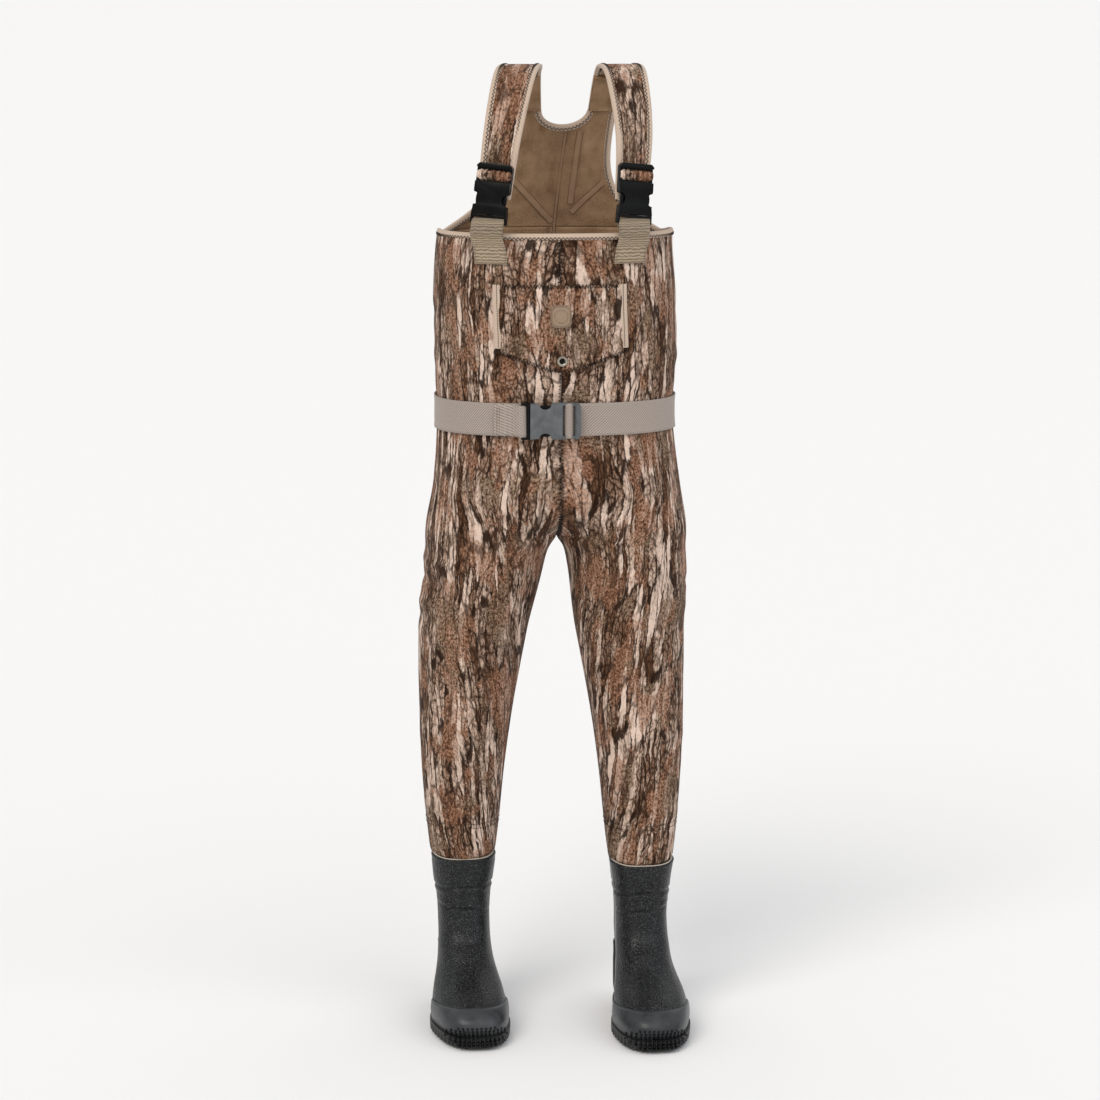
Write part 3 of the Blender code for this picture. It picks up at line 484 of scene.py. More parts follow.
def camoNeoprene(name):
    p = barkPrint
    made, tree, shader = newFinish(name, Roughness=0.9, Sheen_Weight=0.04, Sheen_Roughness=0.5)
    shader.inputs["Specular IOR Level"].default_value = 0.08
    metres = printCoords(tree, (1, 1, 1))

    def pushed(vector, source, reach):
        # moves the map sideways by a noise, so that edges wander and tear
        def step(operation, first, second):
            return addNode(tree, "ShaderNodeVectorMath", {0: first, 1: second},
                           operation=operation).outputs[0]
        return step("ADD", vector, step("MULTIPLY", step("SUBTRACT", source, (0.5, 0.5, 0.5)), reach))

    sway = noiseOf(tree, printCoords(tree, (16, 6, 1)), 1.0, 3.0, 0.55, 1)
    tear = noiseOf(tree, printCoords(tree, (1 / 0.006, 1 / 0.012, 1)), 1.0, 3.0, 0.65, 1)
    moved = pushed(pushed(metres, sway, (0.034, 0.06, 0.0)), tear, (0.0062, 0.010, 0.0))
    strips = addNode(tree, "ShaderNodeMapping",
                     {0: moved, 3: (1 / p["stripWide"], 1 / p["stripLong"], 1)}).outputs[0]
    edge = addNode(tree, "ShaderNodeTexVoronoi", {"Vector": strips, "Scale": 1.0, "Randomness": 1.0},
                   feature="DISTANCE_TO_EDGE", voronoi_dimensions="2D").outputs["Distance"]
    cell = addNode(tree, "ShaderNodeTexVoronoi", {"Vector": strips, "Scale": 1.0, "Randomness": 1.0},
                   feature="F1", voronoi_dimensions="2D").outputs["Color"]
    pick = addNode(tree, "ShaderNodeSeparateColor", {0: cell})
    # upright wood grain
    grain = noiseOf(tree, printCoords(tree, (1 / 0.0030, 1 / 0.016, 1)), 1.0, 5.0, 0.7)
    speckle = noiseOf(tree, printCoords(tree, (1 / p["speckle"], 1 / (p["speckle"] * 1.5), 1)), 1.0, 4.0,
                      0.75)
    cloud = noiseOf(tree, printCoords(tree, (1 / 0.034, 1 / 0.085, 1), offset=(3.1, 1.7, 0)), 1.0, 3.0, 0.5)
    stripTone = mathOf(tree, "MULTIPLY", pick.outputs[0], 0.65)
    tone = mathOf(tree, "MULTIPLY_ADD", mathOf(tree, "SUBTRACT", cloud, 0.5), 1.1, stripTone)
    tone = mathOf(tree, "MULTIPLY_ADD", mathOf(tree, "SUBTRACT", grain, 0.5), 0.75, tone)
    bark = rampOf(tree, tone, ((0.0, p["dark"]), (0.14, p["mid"]), (0.27, "#a98e7c"), (0.39, p["pale"]),
                               (0.57, p["bright"])))
    # mottle: brown flecks over the darker strips, sparing the palest
    fleck = rampOf(tree, speckle, ((0.40, 1.0), (0.50, 0.0)))
    spare = rampOf(tree, tone, ((0.30, 1.0), (0.62, 0.18)))
    bark = mixColour(tree, mathOf(tree, "MULTIPLY", fleck, spare), bark, "#4a2f1f")
    # clefts vary in width along the strip, down to nothing
    ragged = noiseOf(tree, printCoords(tree, (1 / 0.012, 1 / 0.030, 1), offset=(7.7, 0, 0)), 1.0, 4.0, 0.65)
    raggedBy = mathOf(tree, "MULTIPLY", mathOf(tree, "SUBTRACT", ragged, 0.455), 0.64)
    cleftEdge = mathOf(tree, "SUBTRACT", edge, raggedBy)
    cleft = rampOf(tree, cleftEdge, ((0.0, 0.95), (0.03, 0.75), (0.09, 0.0)))
    bark = mixColour(tree, cleft, bark, p["cleft"])
    # a finer crackle between them, open only here and there
    fine = addNode(tree, "ShaderNodeMapping", {0: moved, 3: (1 / 0.0056, 1 / 0.019, 1)}).outputs[0]
    crack = addNode(tree, "ShaderNodeTexVoronoi", {"Vector": fine, "Scale": 1.0, "Randomness": 1.0},
                    feature="DISTANCE_TO_EDGE", voronoi_dimensions="2D").outputs["Distance"]
    brokenBy = mathOf(tree, "MULTIPLY", mathOf(tree, "SUBTRACT", speckle, 0.42), 0.75)
    crackEdge = mathOf(tree, "SUBTRACT", crack, brokenBy)
    crackle = rampOf(tree, crackEdge, ((0.0, 0.85), (0.05, 0.45), (0.12, 0.0)))
    crackle = mathOf(tree, "MULTIPLY", crackle, rampOf(tree, tone, ((0.32, 1.0), (0.60, 0.12))))
    bark = mixColour(tree, crackle, bark, "#2a180d")
    # rust and moss lichen, each broken by its own dark speckle
    patchNoise = noiseOf(tree, printCoords(tree, (1 / 0.046, 1 / 0.10, 1), offset=(1.9, 4.2, 0)), 1.0, 5.0,
                         0.65)
    patch = rampOf(tree, patchNoise, ((0.51, 0.0), (0.555, 1.0)))
    leafy = rampOf(tree, speckle, ((0.38, p["rustDark"]), (0.46, "#6b4632"), (0.53, p["rust"]),
                                   (0.64, "#c39b80")))
    bark = mixColour(tree, mathOf(tree, "MULTIPLY", patch, 0.66), bark, leafy)
    mossNoise = noiseOf(tree, printCoords(tree, (1 / 0.050, 1 / 0.095, 1), offset=(8.3, 2.6, 0)), 1.0, 5.0,
                        0.65)
    mossPatch = rampOf(tree, mossNoise, ((0.55, 0.0), (0.60, 1.0)))
    shade = rampOf(tree, speckle, ((0.39, "#2f1d11"), (0.46, "#574031"), (0.54, p["moss"]),
                                   (0.66, "#b59d88")))
    bark = mixColour(tree, mathOf(tree, "MULTIPLY", mossPatch, 0.72), bark, shade)
    # twigs: sparse thin dark lines running at a slant
    twig = noiseOf(tree, printCoords(tree, (1 / 0.040, 1 / 0.13, 1), offset=(5.5, 9.1, 0)), 1.0, 3.0, 0.5)
    ridge = mathOf(tree, "ABSOLUTE", mathOf(tree, "SUBTRACT", twig, 0.5))
    line = rampOf(tree, ridge, ((0.0, 1.0), (0.010, 0.8), (0.022, 0.0)))
    bark = mixColour(tree, mathOf(tree, "MULTIPLY", line, 0.75), bark, "#3a261a")
    tree.links.new(bark, shader.inputs["Base Color"])
    # knit face: wales of 1.2 mm, drawn coarse enough to show
    loops = printCoords(tree, (1 / p["wale"], 1 / p["wale"], 1))
    wales = addNode(tree, "ShaderNodeTexVoronoi", {"Vector": loops, "Scale": 1.0, "Randomness": 0.35},
                    voronoi_dimensions="2D").outputs["Distance"]
    bumpOf(tree, shader, mathOf(tree, "MULTIPLY_ADD", speckle, 1.2, wales), 0.35, 0.0007)
    return made


def wovenTape(name, pale, dark, rib, across=False, twill=False, slub=0.6, roughness=0.8, strength=0.5):
    # narrow woven tape: ribs every rib metres, along the run unless across is set, and a worn colour
    made, tree, shader = newFinish(name, Roughness=roughness, Sheen_Weight=0.2)
    shader.inputs["Specular IOR Level"].default_value = 0.3
    lines = printCoords(tree, (1, 1, 1))
    # a wave repeats every 0.314 of its scale upright, and every 0.628 on the slant
    reach = 0.628 if twill else 0.314
    bands = "DIAGONAL" if twill else "Y" if across else "X"
    wave = addNode(tree, "ShaderNodeTexWave", {"Vector": lines, "Scale": reach / rib, "Distortion": slub,
                                               "Detail": 2.0, "Detail Scale": 1.5},
                   bands_direction=bands).outputs[1]
    weft = addNode(tree, "ShaderNodeTexWave",
                   {"Vector": lines, "Scale": 0.314 / (rib * 0.6), "Distortion": 0.4},
                   bands_direction="X" if across else "Y").outputs[1]
    worn = noiseOf(tree, printCoords(tree, (420, 420, 1)), 1.0, 4.0, 0.75)
    mix = mathOf(tree, "ADD", mathOf(tree, "MULTIPLY", wave, 0.62),
                 mathOf(tree, "ADD", mathOf(tree, "MULTIPLY", worn, 0.4),
                        mathOf(tree, "MULTIPLY", weft, 0.15)))
    tree.links.new(rampOf(tree, mix, ((0.15, dark), (0.75, pale))), shader.inputs["Base Color"])
    bumpOf(tree, shader, mathOf(tree, "ADD", wave, mathOf(tree, "MULTIPLY", weft, 0.4)), strength, 0.0005)
    return made


def plainKnit(name, pale, dark, grain, roughness=0.9, strength=0.3, coords="print"):
    # brushed jersey or sewing thread: fine soft grain in two close tones
    made, tree, shader = newFinish(name, Roughness=roughness, Sheen_Weight=0.06)
    shader.inputs["Specular IOR Level"].default_value = 0.2
    if coords == "print":
        place = printCoords(tree, (1 / grain, 1 / grain, 1))
    else:
        place = addNode(tree, "ShaderNodeMapping", {0: addNode(tree, "ShaderNodeTexCoord").outputs["Object"],
                                                    3: (1 / grain,) * 3}).outputs[0]
    fine = noiseOf(tree, place, 1.0, 3.0, 0.6)
    slow = noiseOf(tree, place, 0.06, 3.0, 0.5)
    mix = mathOf(tree, "ADD", mathOf(tree, "MULTIPLY", fine, 0.6), mathOf(tree, "MULTIPLY", slow, 0.4))
    tree.links.new(rampOf(tree, mix, ((0.35, dark), (0.65, pale))), shader.inputs["Base Color"])
    bumpOf(tree, shader, fine, strength, 0.0004)
    return made


def mouldedRubber(name, colour, pale, grain, roughness, strength, distance=0.0006, glint=0.1):
    # vulcanised rubber from an etched mould: even pebble, dull shine, pale specks of painted highlight
    made, tree, shader = newFinish(name)
    shader.inputs["Specular IOR Level"].default_value = 0.27
    place = addNode(tree, "ShaderNodeTexCoord").outputs["Object"]
    pebble = addNode(tree, "ShaderNodeTexVoronoi", {"Vector": place, "Scale": 1 / grain, "Randomness": 0.9},
                     feature="SMOOTH_F1").outputs["Distance"]
    cloud = noiseOf(tree, place, 22.0, 4.0, 0.6)
    base = rampOf(tree, cloud, ((0.35, colour), (0.70, pale)))
    # pale specks up to the glint share: painted highlights, standing in for light caught by the pebble
    tip = rampOf(tree, noiseOf(tree, place, 1 / (0.6 * grain), 2.0, 0.6), ((0.55, 0.0), (0.68, glint)))
    tree.links.new(mixColour(tree, tip, base, "#7a7d80"), shader.inputs["Base Color"])
    rough = mathOf(tree, "MULTIPLY_ADD", cloud, 0.20, roughness - 0.10)
    tree.links.new(rough, shader.inputs["Roughness"])
    bumpOf(tree, shader, pebble, strength, distance)
    return made


def mouldedNylon(name, colour, pale, roughness, gloss):
    # acetal and nylon buckle stock: near black, fine spark-eroded grain, a soft grey sheen
    made, tree, shader = newFinish(name, IOR=1.5)
    shader.inputs["Specular IOR Level"].default_value = gloss
    place = addNode(tree, "ShaderNodeTexCoord").outputs["Object"]
    grain = noiseOf(tree, place, 2400.0, 3.0, 0.6)
    cloud = noiseOf(tree, place, 60.0, 3.0, 0.6)
    tree.links.new(rampOf(tree, cloud, ((0.3, colour), (0.8, pale))), shader.inputs["Base Color"])
    tree.links.new(mathOf(tree, "MULTIPLY_ADD", cloud, 0.16, roughness - 0.08), shader.inputs["Roughness"])
    bumpOf(tree, shader, grain, 0.25, 0.0001)
    return made


def platedNickel():
    # nickel-plated brass, tumbled: warm grey, faint scratches
    made, tree, shader = newFinish("platedNickel", Metallic=1.0)
    place = addNode(tree, "ShaderNodeTexCoord").outputs["Object"]
    scratch = noiseOf(tree, place, 900.0, 4.0, 0.7)
    tree.links.new(rampOf(tree, scratch, ((0.3, "#8d8578"), (0.7, "#b9b2a4"))), shader.inputs["Base Color"])
    tree.links.new(mathOf(tree, "MULTIPLY_ADD", scratch, 0.2, 0.22), shader.inputs["Roughness"])
    bumpOf(tree, shader, scratch, 0.15, 0.0001)
    return made


buildStudio()
camo = camoNeoprene("camoPrintedNeoprene")
lining = plainKnit("brownJerseyLining", "#b39272", "#73583f", 0.0016, strength=0.5)
binding = wovenTape("tanElasticBinding", "#d2bca9", "#ab947f", 0.0011, strength=0.45)
beltWeave = wovenTape("taupeBeltTwill", "#aea197", "#7a6e66", 0.0044, twill=True, slub=0.5, strength=0.9)
tabWeave = wovenTape("oliveTabWebbing", "#ab9a83", "#5b4b36", 0.0025, across=True, slub=4.0, strength=0.9)
darkThread = plainKnit("umberBondedThread", "#35281d", "#1f150e", 0.0006, coords="object")
paleThread = plainKnit("sandBondedThread", "#a8937f", "#7b6752", 0.0006, coords="object")
boneFelt = plainKnit("needledFelt", "#8b8378", "#5d564c", 0.0014, coords="object", strength=0.6)
bootRubber = mouldedRubber("pebbledBootRubber", "#090a0b", "#141517", 0.0026, 0.32, 0.9, 0.0011, 0.45)
# the toe cap's grey, lighter than the upper, is painted sheen: the cap is the same black rubber, glossy
toeRubber = mouldedRubber("smoothToeRubber", "#2b2d2f", "#44474a", 0.0016, 0.30, 0.4)
treadRubber = mouldedRubber("scuffedTreadRubber", "#0f0f10", "#2a2a2a", 0.0045, 0.45, 0.35)
nylon = mouldedNylon("blackAcetal", "#040405", "#0b0c0c", 0.30, 0.14)
# belt buckle stock: black acetal drawn grey, a painted reflection for the light its face catches
sheenGreyNylon = mouldedNylon("sheenPaintedAcetal", "#44474a", "#66696b", 0.30, 0.5)
nickel = platedNickel()
print("studio and finishes ready")


clothBits = {"columns": 150, "row": 0.0045, "thickness": 0.0048, "tuckDeep": 0.0050, "seamSnap": 0.014,
             "hipBlend": (0.79, 0.65), "kneeBlend": (0.56, 0.42)}


def bodyPiece(name, side, high, low, replaces):
    rows = round((high - low) / clothBits["row"])
    stops = [high + (low - high) * i / rows for i in range(rows + 1)]
    if low < cut["crotch"] < high:      # a row of the mesh sits exactly at the crotch
        near = min(range(rows + 1), key=lambda i: abs(stops[i] - cut["crotch"]))
        stops[near] = cut["crotch"]

    def at(b):
        i = min(rows - 1, int(b * rows))
        return stops[i] + (stops[i + 1] - stops[i]) * (b * rows - i)

    def tuck(a, z):
        # the leg narrows where it goes down inside its boot
        hem = cut["bootTop"][side] - 0.0055 * (1 + math.sin(2 * math.pi * a))
        return clothBits["tuckDeep"] * ease(-z, -hem - 0.0030, -hem + 0.0050)

    def lift(a, b):
        z = at(b)
        ends = min(a, 1 - a)
        hold = ease(ends, 0.0, 0.035) if z > cut["crotch"] else ease(ends, 0.0, 0.05)
        worn = foldLift(side, a, z) * hold + seamDip(a, z)
        return worn * ease(cut["rim"] - z, 0.0, 0.02) - tuck(a, z)

    bm = clothGrid(lambda a, b: trouserPoint(side, a, at(b)), clothBits["columns"], rows,
                   lambda a, b: printAt(side, a, at(b)),
                   lambda p: Vector((p.x - side * 0.1, p.y - cut["centreY"], 0)), lift)
    snap = clothBits["seamSnap"]
    for v in bm.verts:          # the centre seams stay on the middle plane
        if v.co.z > cut["crotch"] - 0.001 and abs(v.co.x - leanAt(v.co.z)) < snap and v.is_boundary:
            v.co.x = leanAt(v.co.z) - side * 0.0002
    piece = makeObject(name, bm, [camo, lining], replaces=replaces, smooth=80)
    thicken(piece, clothBits["thickness"], inside=1)
    return piece


def buildBody():
    for word, side in sides.items():
        bib = bodyPiece(word + "Bib", side, cut["rim"], cut["belt"],
                        (word + "_front_panel", word + "_back_panel"))
        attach(bib, "torso")
        hip = bodyPiece(word + "UpperLeg", side, cut["belt"], cut["thighLine"],
                        (word + "_hip_section", word + "_thigh_section"))
        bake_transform(hip)
        shank = bodyPiece(word + "LowerLeg", side, cut["thighLine"], cut["hem"],
                          (word + "_knee_section", word + "_shin_section"))
        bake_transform(shank)
    print("body sewn")


buildBody()


upper = {"shoulder": 0.080, "neckHalf": 0.037, "tapeDeep": 0.0056, "tapeHigh": 0.0034, "stitchIn": 0.0060,
         "zigzagPitch": 0.0062, "zigzagWide": 0.0034, "thread": 0.0016, "armWide": 0.172, "tapeSides": 14}
strapBits = {"yaw": (0, 0, 0, 8, 20, 20), "half": (0.0210, 0.026, 0.031, 0.031, 0.029, 0.025)}


def armholeHalf(z):
    fall = min(1.0, max(0.0, (z - cut["rim"]) / (cut["yokeTop"] - cut["rim"])))
    return upper["shoulder"] + (upper["armWide"] - upper["shoulder"]) * (1 - fall) ** 4


def backTopZ(x):
    # the neckline's height at x on the high back
    share = min(1.0, abs(x) / upper["neckHalf"])
    if share >= 1:
        return cut["yokeTop"]
    return cut["neckZ"] + (cut["yokeTop"] - cut["neckZ"]) * (1 - math.sqrt(1 - share ** 2))


def strapRows(side, count=61):
    # middle line of a strap from the high back over the shoulder down to its buckle:
    # point, face yaw, half width
    start = backPoint(side * (upper["shoulder"] + upper["neckHalf"]) / 2,
                      cut["yokeTop"]) + Vector((0, -0.0024, 0))
    crest = Vector((side * 0.075 + leanAt(1.45), 0.012, cut["crest"] - 0.005)) + centre
    chest = Vector((side * 0.099 + leanAt(1.36), -0.104, 1.395)) + centre
    end = Vector((side * 0.103 + leanAt(1.28), -0.1165, 1.300)) + centre
    stops = [start, start.lerp(crest, 0.55) + Vector((0, 0.012, 0.014)), crest,
             crest.lerp(chest, 0.45) + Vector((0, -0.019, 0.028)), chest, end]
    rows = []
    for i in range(count):
        at = i / (count - 1) * 5

        def along(values):
            return curveThrough(list(enumerate(values)), at)
        point = Vector([along([s[axis] for s in stops]) for axis in range(3)])
        rows.append((point, math.radians(along(strapBits["yaw"])), along(strapBits["half"])))
    return rows


def strapFrame(side, rows, at):
    # point, across and out of the strap's middle line at a share of its length
    k = at * (len(rows) - 1)
    i = min(len(rows) - 2, int(k))
    point = rows[i][0].lerp(rows[i + 1][0], k - i)
    yaw = rows[i][1] + (rows[i + 1][1] - rows[i][1]) * (k - i)
    half = rows[i][2] + (rows[i + 1][2] - rows[i][2]) * (k - i)
    ahead = rows[min(i + 2, len(rows) - 1)][0] - rows[max(i - 1, 0)][0]
    across = Vector((math.cos(side * yaw), math.sin(side * yaw), 0))
    out = across.cross(ahead).normalized()
    if out.z < 0 and abs(ahead.normalized().z) < 0.7 or out.y > 0 and ahead.z < 0 and abs(out.z) < 0.7:
        out = -out
    return point, across, out, half


def boundEdge(name, points, inwards, outs, replaces=(), sunk=0.0):
    # elastic tape folded over an edge, in section a flattened round, with a zigzag row through it
    deep, high = upper["tapeDeep"], upper["tapeHigh"]
    rings = []
    for p, inward, out in zip(points, inwards, outs):
        ring = []
        for i in range(upper["tapeSides"]):
            turn = 2 * math.pi * i / upper["tapeSides"]
            c, s = math.cos(turn), math.sin(turn)
            ring.append(p + inward * (deep * math.copysign(abs(c) ** 0.7, c) + deep * 0.75)
                        + out * high * math.copysign(abs(s) ** 0.7, s))
        rings.append(ring)
    tape = makeObject(name, tubeMesh(rings), [binding], "torso", replaces, 70)
    lines = []
    for face in (1, -1):
        last = len(points) - 1
        # near its ends a front row may lie deeper, clear of what slides over it
        sinks = [sunk * ease(abs(2 * i / last - 1), 0.80, 0.84) if face > 0 else 0 for i in range(last + 1)]
        path = [p + inward * upper["stitchIn"] + out * face * (high + 0.0002 - sink)
                for sink, p, inward, out in zip(sinks, points, inwards, outs)]
        fine = evenly(path, upper["zigzagPitch"] / 2)
        runs = []
        for i, q in enumerate(fine):
            near = int(i / len(fine) * len(path))
            k = min(range(max(0, near - 4), min(len(path), near + 5)), key=lambda j: (path[j] - q).length)
            runs.append(q + inwards[k] * upper["zigzagWide"] / 2 * (1 if i % 2 else -1))
        lines.append(runs)
    threadPiece(name + "Stitches", lines, upper["thread"], darkThread, "torso")
    return tape


def buildHighBack():
    low = cut["rim"]

    def shape(a, b):
        share = 2 * a - 1
        xTop = abs(share) * upper["shoulder"]
        top = backTopZ(xTop)
        line = low + (cut["yokeTop"] - low) * (1 - b)
        return backPoint(share * armholeHalf(line), low + (top - low) * (1 - b))

    def lift(a, b):
        p = shape(a, b)
        x = p.x - leanAt(p.z)
        seams = bump(x, 0.0, 0.0022)
        seams += 0.6 * bump(abs(x) - (p.z - 1.262) * 0.95, 0.0, 0.003) * ease(p.z, 1.25, 1.27)
        waves = noise.noise(Vector((p.x * 14, 0, p.z * 11)))
        return (0.0005 * seams + 0.0010 * waves) * ease(p.z, cut["rim"], cut["rim"] + 0.02)

    bm = clothGrid(shape, 96, 60, lambda a, b: ((a - 0.5) * 0.26 + 5.3, shape(a, b).z), backwards, lift)
    back = makeObject("highBack", bm, [camo, lining], "torso", ("back_yoke",), 80)
    thicken(back, cut["fabric"], inside=1)

    # taped seams on the lining: an upright pair and a pair meeting low in the middle
    def inside(x, z, lift):
        p = backPoint(x, z)
        return p + Vector((0, -(cut["fabric"] + lift), 0))
    tapes = []
    runs = (([(0.000, 1.392), (0.000, 1.21)], 0.0035), ([(0.022, 1.390), (0.022, 1.275)], 0.0090),
            ([(-0.080, 1.322), (-0.060, 1.302), (-0.004, 1.247)], 0.0090),
            ([(0.068, 1.309), (0.046, 1.286), (0.024, 1.262)], 0.0090))
    for index, (path, wide) in enumerate(runs):
        spine = evenly([Vector((x, 0, z)) for x, z in path], 0.006)

        def tapeShape(a, b, spine=spine, wide=wide):
            k = b * (len(spine) - 1)
            i = min(len(spine) - 2, int(k))
            at = spine[i].lerp(spine[i + 1], k - i)
            ahead = (spine[i + 1] - spine[i]).normalized()
            aside = Vector((-ahead.z, 0, ahead.x)) * (a - 0.5) * wide
            edge = 0.0003 * (1 - abs(2 * a - 1) ** 6)
            return inside(at.x + aside.x + 0.008, at.z + aside.z, 0.0004 + edge)
        tapeMesh = clothGrid(tapeShape, 8, 4 * len(spine),
                             lambda a, b, n=len(spine): (a * 0.009, b * n * 0.006), forwards)
        tape = makeObject("liningTape%d" % (index + 1), tapeMesh, [seamTape], "torso", (),
                          80)
        thicken(tape, 0.0006)
        edgeRuns = []
        for shift in (-wide / 2 - 0.0006, wide / 2 + 0.0006):
            line = []
            for i, at in enumerate(spine):
                ahead = (spine[min(i + 1, len(spine) - 1)] - spine[max(i - 1, 0)]).normalized()
                line.append(inside(at.x - ahead.z * shift + 0.008, at.z + ahead.x * shift, 0.0006))
            edgeRuns += dashes(line, 0.0042, 0.7, lambda p: Vector((0, -1, 0)), 0.0004)
        tapes += edgeRuns
    threadPiece("liningTapeStitches", tapes, 0.0006, seamThread, "torso")


def buildStraps():
    for word, side in sides.items():
        rows = strapRows(side)

        def shape(a, b, side=side, rows=rows):
            point, across, out, half = strapFrame(side, rows, b)
            return point + across * half * (2 * a - 1) * side + out * 0.0024

        def lift(a, b, side=side):
            p = shape(a, b)
            crown = 0.0009 * (1 - (2 * a - 1) ** 2)
            return crown + 0.0006 * noise.noise(p * 22 + Vector((side, 0, 0)))
        bm = clothGrid(shape, 22, 120, lambda a, b, side=side: (side * 1.7 + a * 0.06, 1.3 - b * 0.42),
                       lambda p: p - Vector((p.x, centre.y, 1.33)), lift)
        strap = makeObject(word + "Strap", bm, [camo, lining], "torso",
                           (word + "_shoulder_strap",), 80)
        thicken(strap, cut["fabric"], inside=1)


def buildBoundEdges():
    clear = 0.0012
    neck, neckIn, neckOut = [], [], []

    def strapEdge(side, inner):
        rows = strapRows(side, 61)
        points, inwards, outs = [], [], []
        for i in range(91):
            p, across, out, half = strapFrame(side, rows, 0.006 + 0.994 * i / 90)
            away = across * side * (-1 if inner else 1)
            points.append(p + away * (half - clear * 0.2))
            inwards.append(-away)
            outs.append(out)
        return points, inwards, outs

    for side in (1, -1):
        points, inwards, outs = strapEdge(side, True)
        order = range(90, -1, -1) if side > 0 else range(91)
        if side < 0:        # the neckline's hollow between the two straps
            count = 41
            for i in range(1, count - 1):
                turn = math.pi * (0.5 - i / (count - 1))
                x = upper["neckHalf"] * math.sin(turn)
                z = cut["yokeTop"] - (cut["yokeTop"] - cut["neckZ"]) * math.cos(turn)
                neck.append(backPoint(x, z) + Vector((0, -cut["fabric"] / 2, 0)))
                neckIn.append(Vector((math.sin(turn), 0, -math.cos(turn))).normalized())
                neckOut.append(Vector((0, 1, 0.12)).normalized())
        for i in order:
            neck.append(points[i])
            neckIn.append(inwards[i])
            neckOut.append(outs[i])
    boundEdge("necklineTape", neck, neckIn, neckOut, replaces=("neck_binding",), sunk=0.0009)

    for word, side in sides.items():
        points, inwards, outs = strapEdge(side, False)
        points, inwards, outs = points[::-1], inwards[::-1], outs[::-1]
        high = cut["yokeTop"] - 0.002
        for i in range(60):
            z = high - (high - cut["rim"] - 0.001) * (1 - (1 - i / 59) ** 1.5)
            slope = (armholeHalf(z + 0.0005) - armholeHalf(z - 0.0005)) / 0.001
            x = side * armholeHalf(z)
            here = backPoint(x, z)
            around = (backPoint(x - side * 0.004, z) - here).normalized()
            inward = (around + Vector((0, 0, slope))).normalized()
            turn = turnOf(x, z)
            away = Vector((side * abs(math.sin(turn)) ** 1.4, abs(math.cos(turn)) ** 0.7, 0)).normalized()
            points.append(here - away * cut["fabric"] / 2)
            inwards.append(inward)
            outs.append(away)
        boundEdge(word + "ArmholeTape", points, inwards, outs, replaces=(word + "_armhole_binding",))

    rim, rimIn, rimOut = [], [], []
    for i in range(161):
        turn = math.pi * (i / 160 - 0.5) * 1.26
        level = cut["rim"] + 0.0076 - 0.0066 * ease(abs(turn), 1.5, 1.95)
        p = trunkPoint(turn, level)
        beside = trunkPoint(turn + 0.01, level) - trunkPoint(turn - 0.01, level)
        out = beside.cross(Vector((0, 0, 1))).normalized()
        if out.dot(p - centre) < 0:
            out = -out
        rim.append(p - out * cut["fabric"] * 0.45)
        rimIn.append(Vector((0, 0, -1)))
        rimOut.append(out)
    boundEdge("rimTape", rim, rimIn, rimOut, replaces=("front_rim_binding",))


pocketBits = {"half": 0.098, "top": 1.172, "side": 1.073, "tip": 1.040, "thick": 0.0034, "eyelet": 1.058,
              "bindWide": 0.0108}
beltBits = {"wide": 0.050, "thick": 0.0018, "plugTurn": 2 * math.pi - 0.262}
buckle = {"barY": 0.0598, "plugBarY": -0.0095}
tabBits = {"half": 0.0255, "foot": {"left": 0.1020, "right": -0.1065}, "hook": 0.0046}


def frameAt(origin, along, out):
    y = along.normalized()
    x = y.cross(out).normalized()
    return Matrix.Translation(origin) @ Matrix((x, y, x.cross(y))).transposed().to_4x4()


def shoulderFrame(side):
    rows = strapRows(side, 21)
    end, chest, yaw = rows[-1][0], rows[-5][0], rows[-1][1]
    along = (chest - end).normalized()
    out = Vector((side * math.sin(yaw), -math.cos(yaw), 0.1))
    out = (out - along * out.dot(along)).normalized()
    return frameAt(end - along * 0.0255 + out * 0.0069, along, out)


def beltFrame():
    face = chestPoint(0.0, cut["belt"], 0.0048)
    return frameAt(Vector((-0.0425, face.y, cut["belt"])), Vector((1, 0, 0)), Vector((0, -1, -0.045)))


def ribbonMesh(spine, across, halfAt, columns=10, uvShift=0.0):
    # a flat strip along a spine; its width lies along across(i)
    run = [0.0]
    for a, b in zip(spine, spine[1:]):
        run.append(run[-1] + (b - a).length)

    def shape(a, b):
        k = b * (len(spine) - 1)
        i = min(len(spine) - 2, int(k))
        return spine[i].lerp(spine[i + 1], k - i) + across * halfAt(b) * (2 * a - 1)
    return clothGrid(shape, columns, len(spine) - 1,
                     lambda a, b: (a * 2 * halfAt(b) + uvShift, b * run[-1]), forwards)


def smoothPath(points, count):
    out = []
    keys = range(len(points))
    for i in range(count):
        at = i / (count - 1) * (len(points) - 1)
        out.append(Vector([curveThrough([(k, points[k][axis]) for k in keys], at) for axis in range(3)]))
    return out


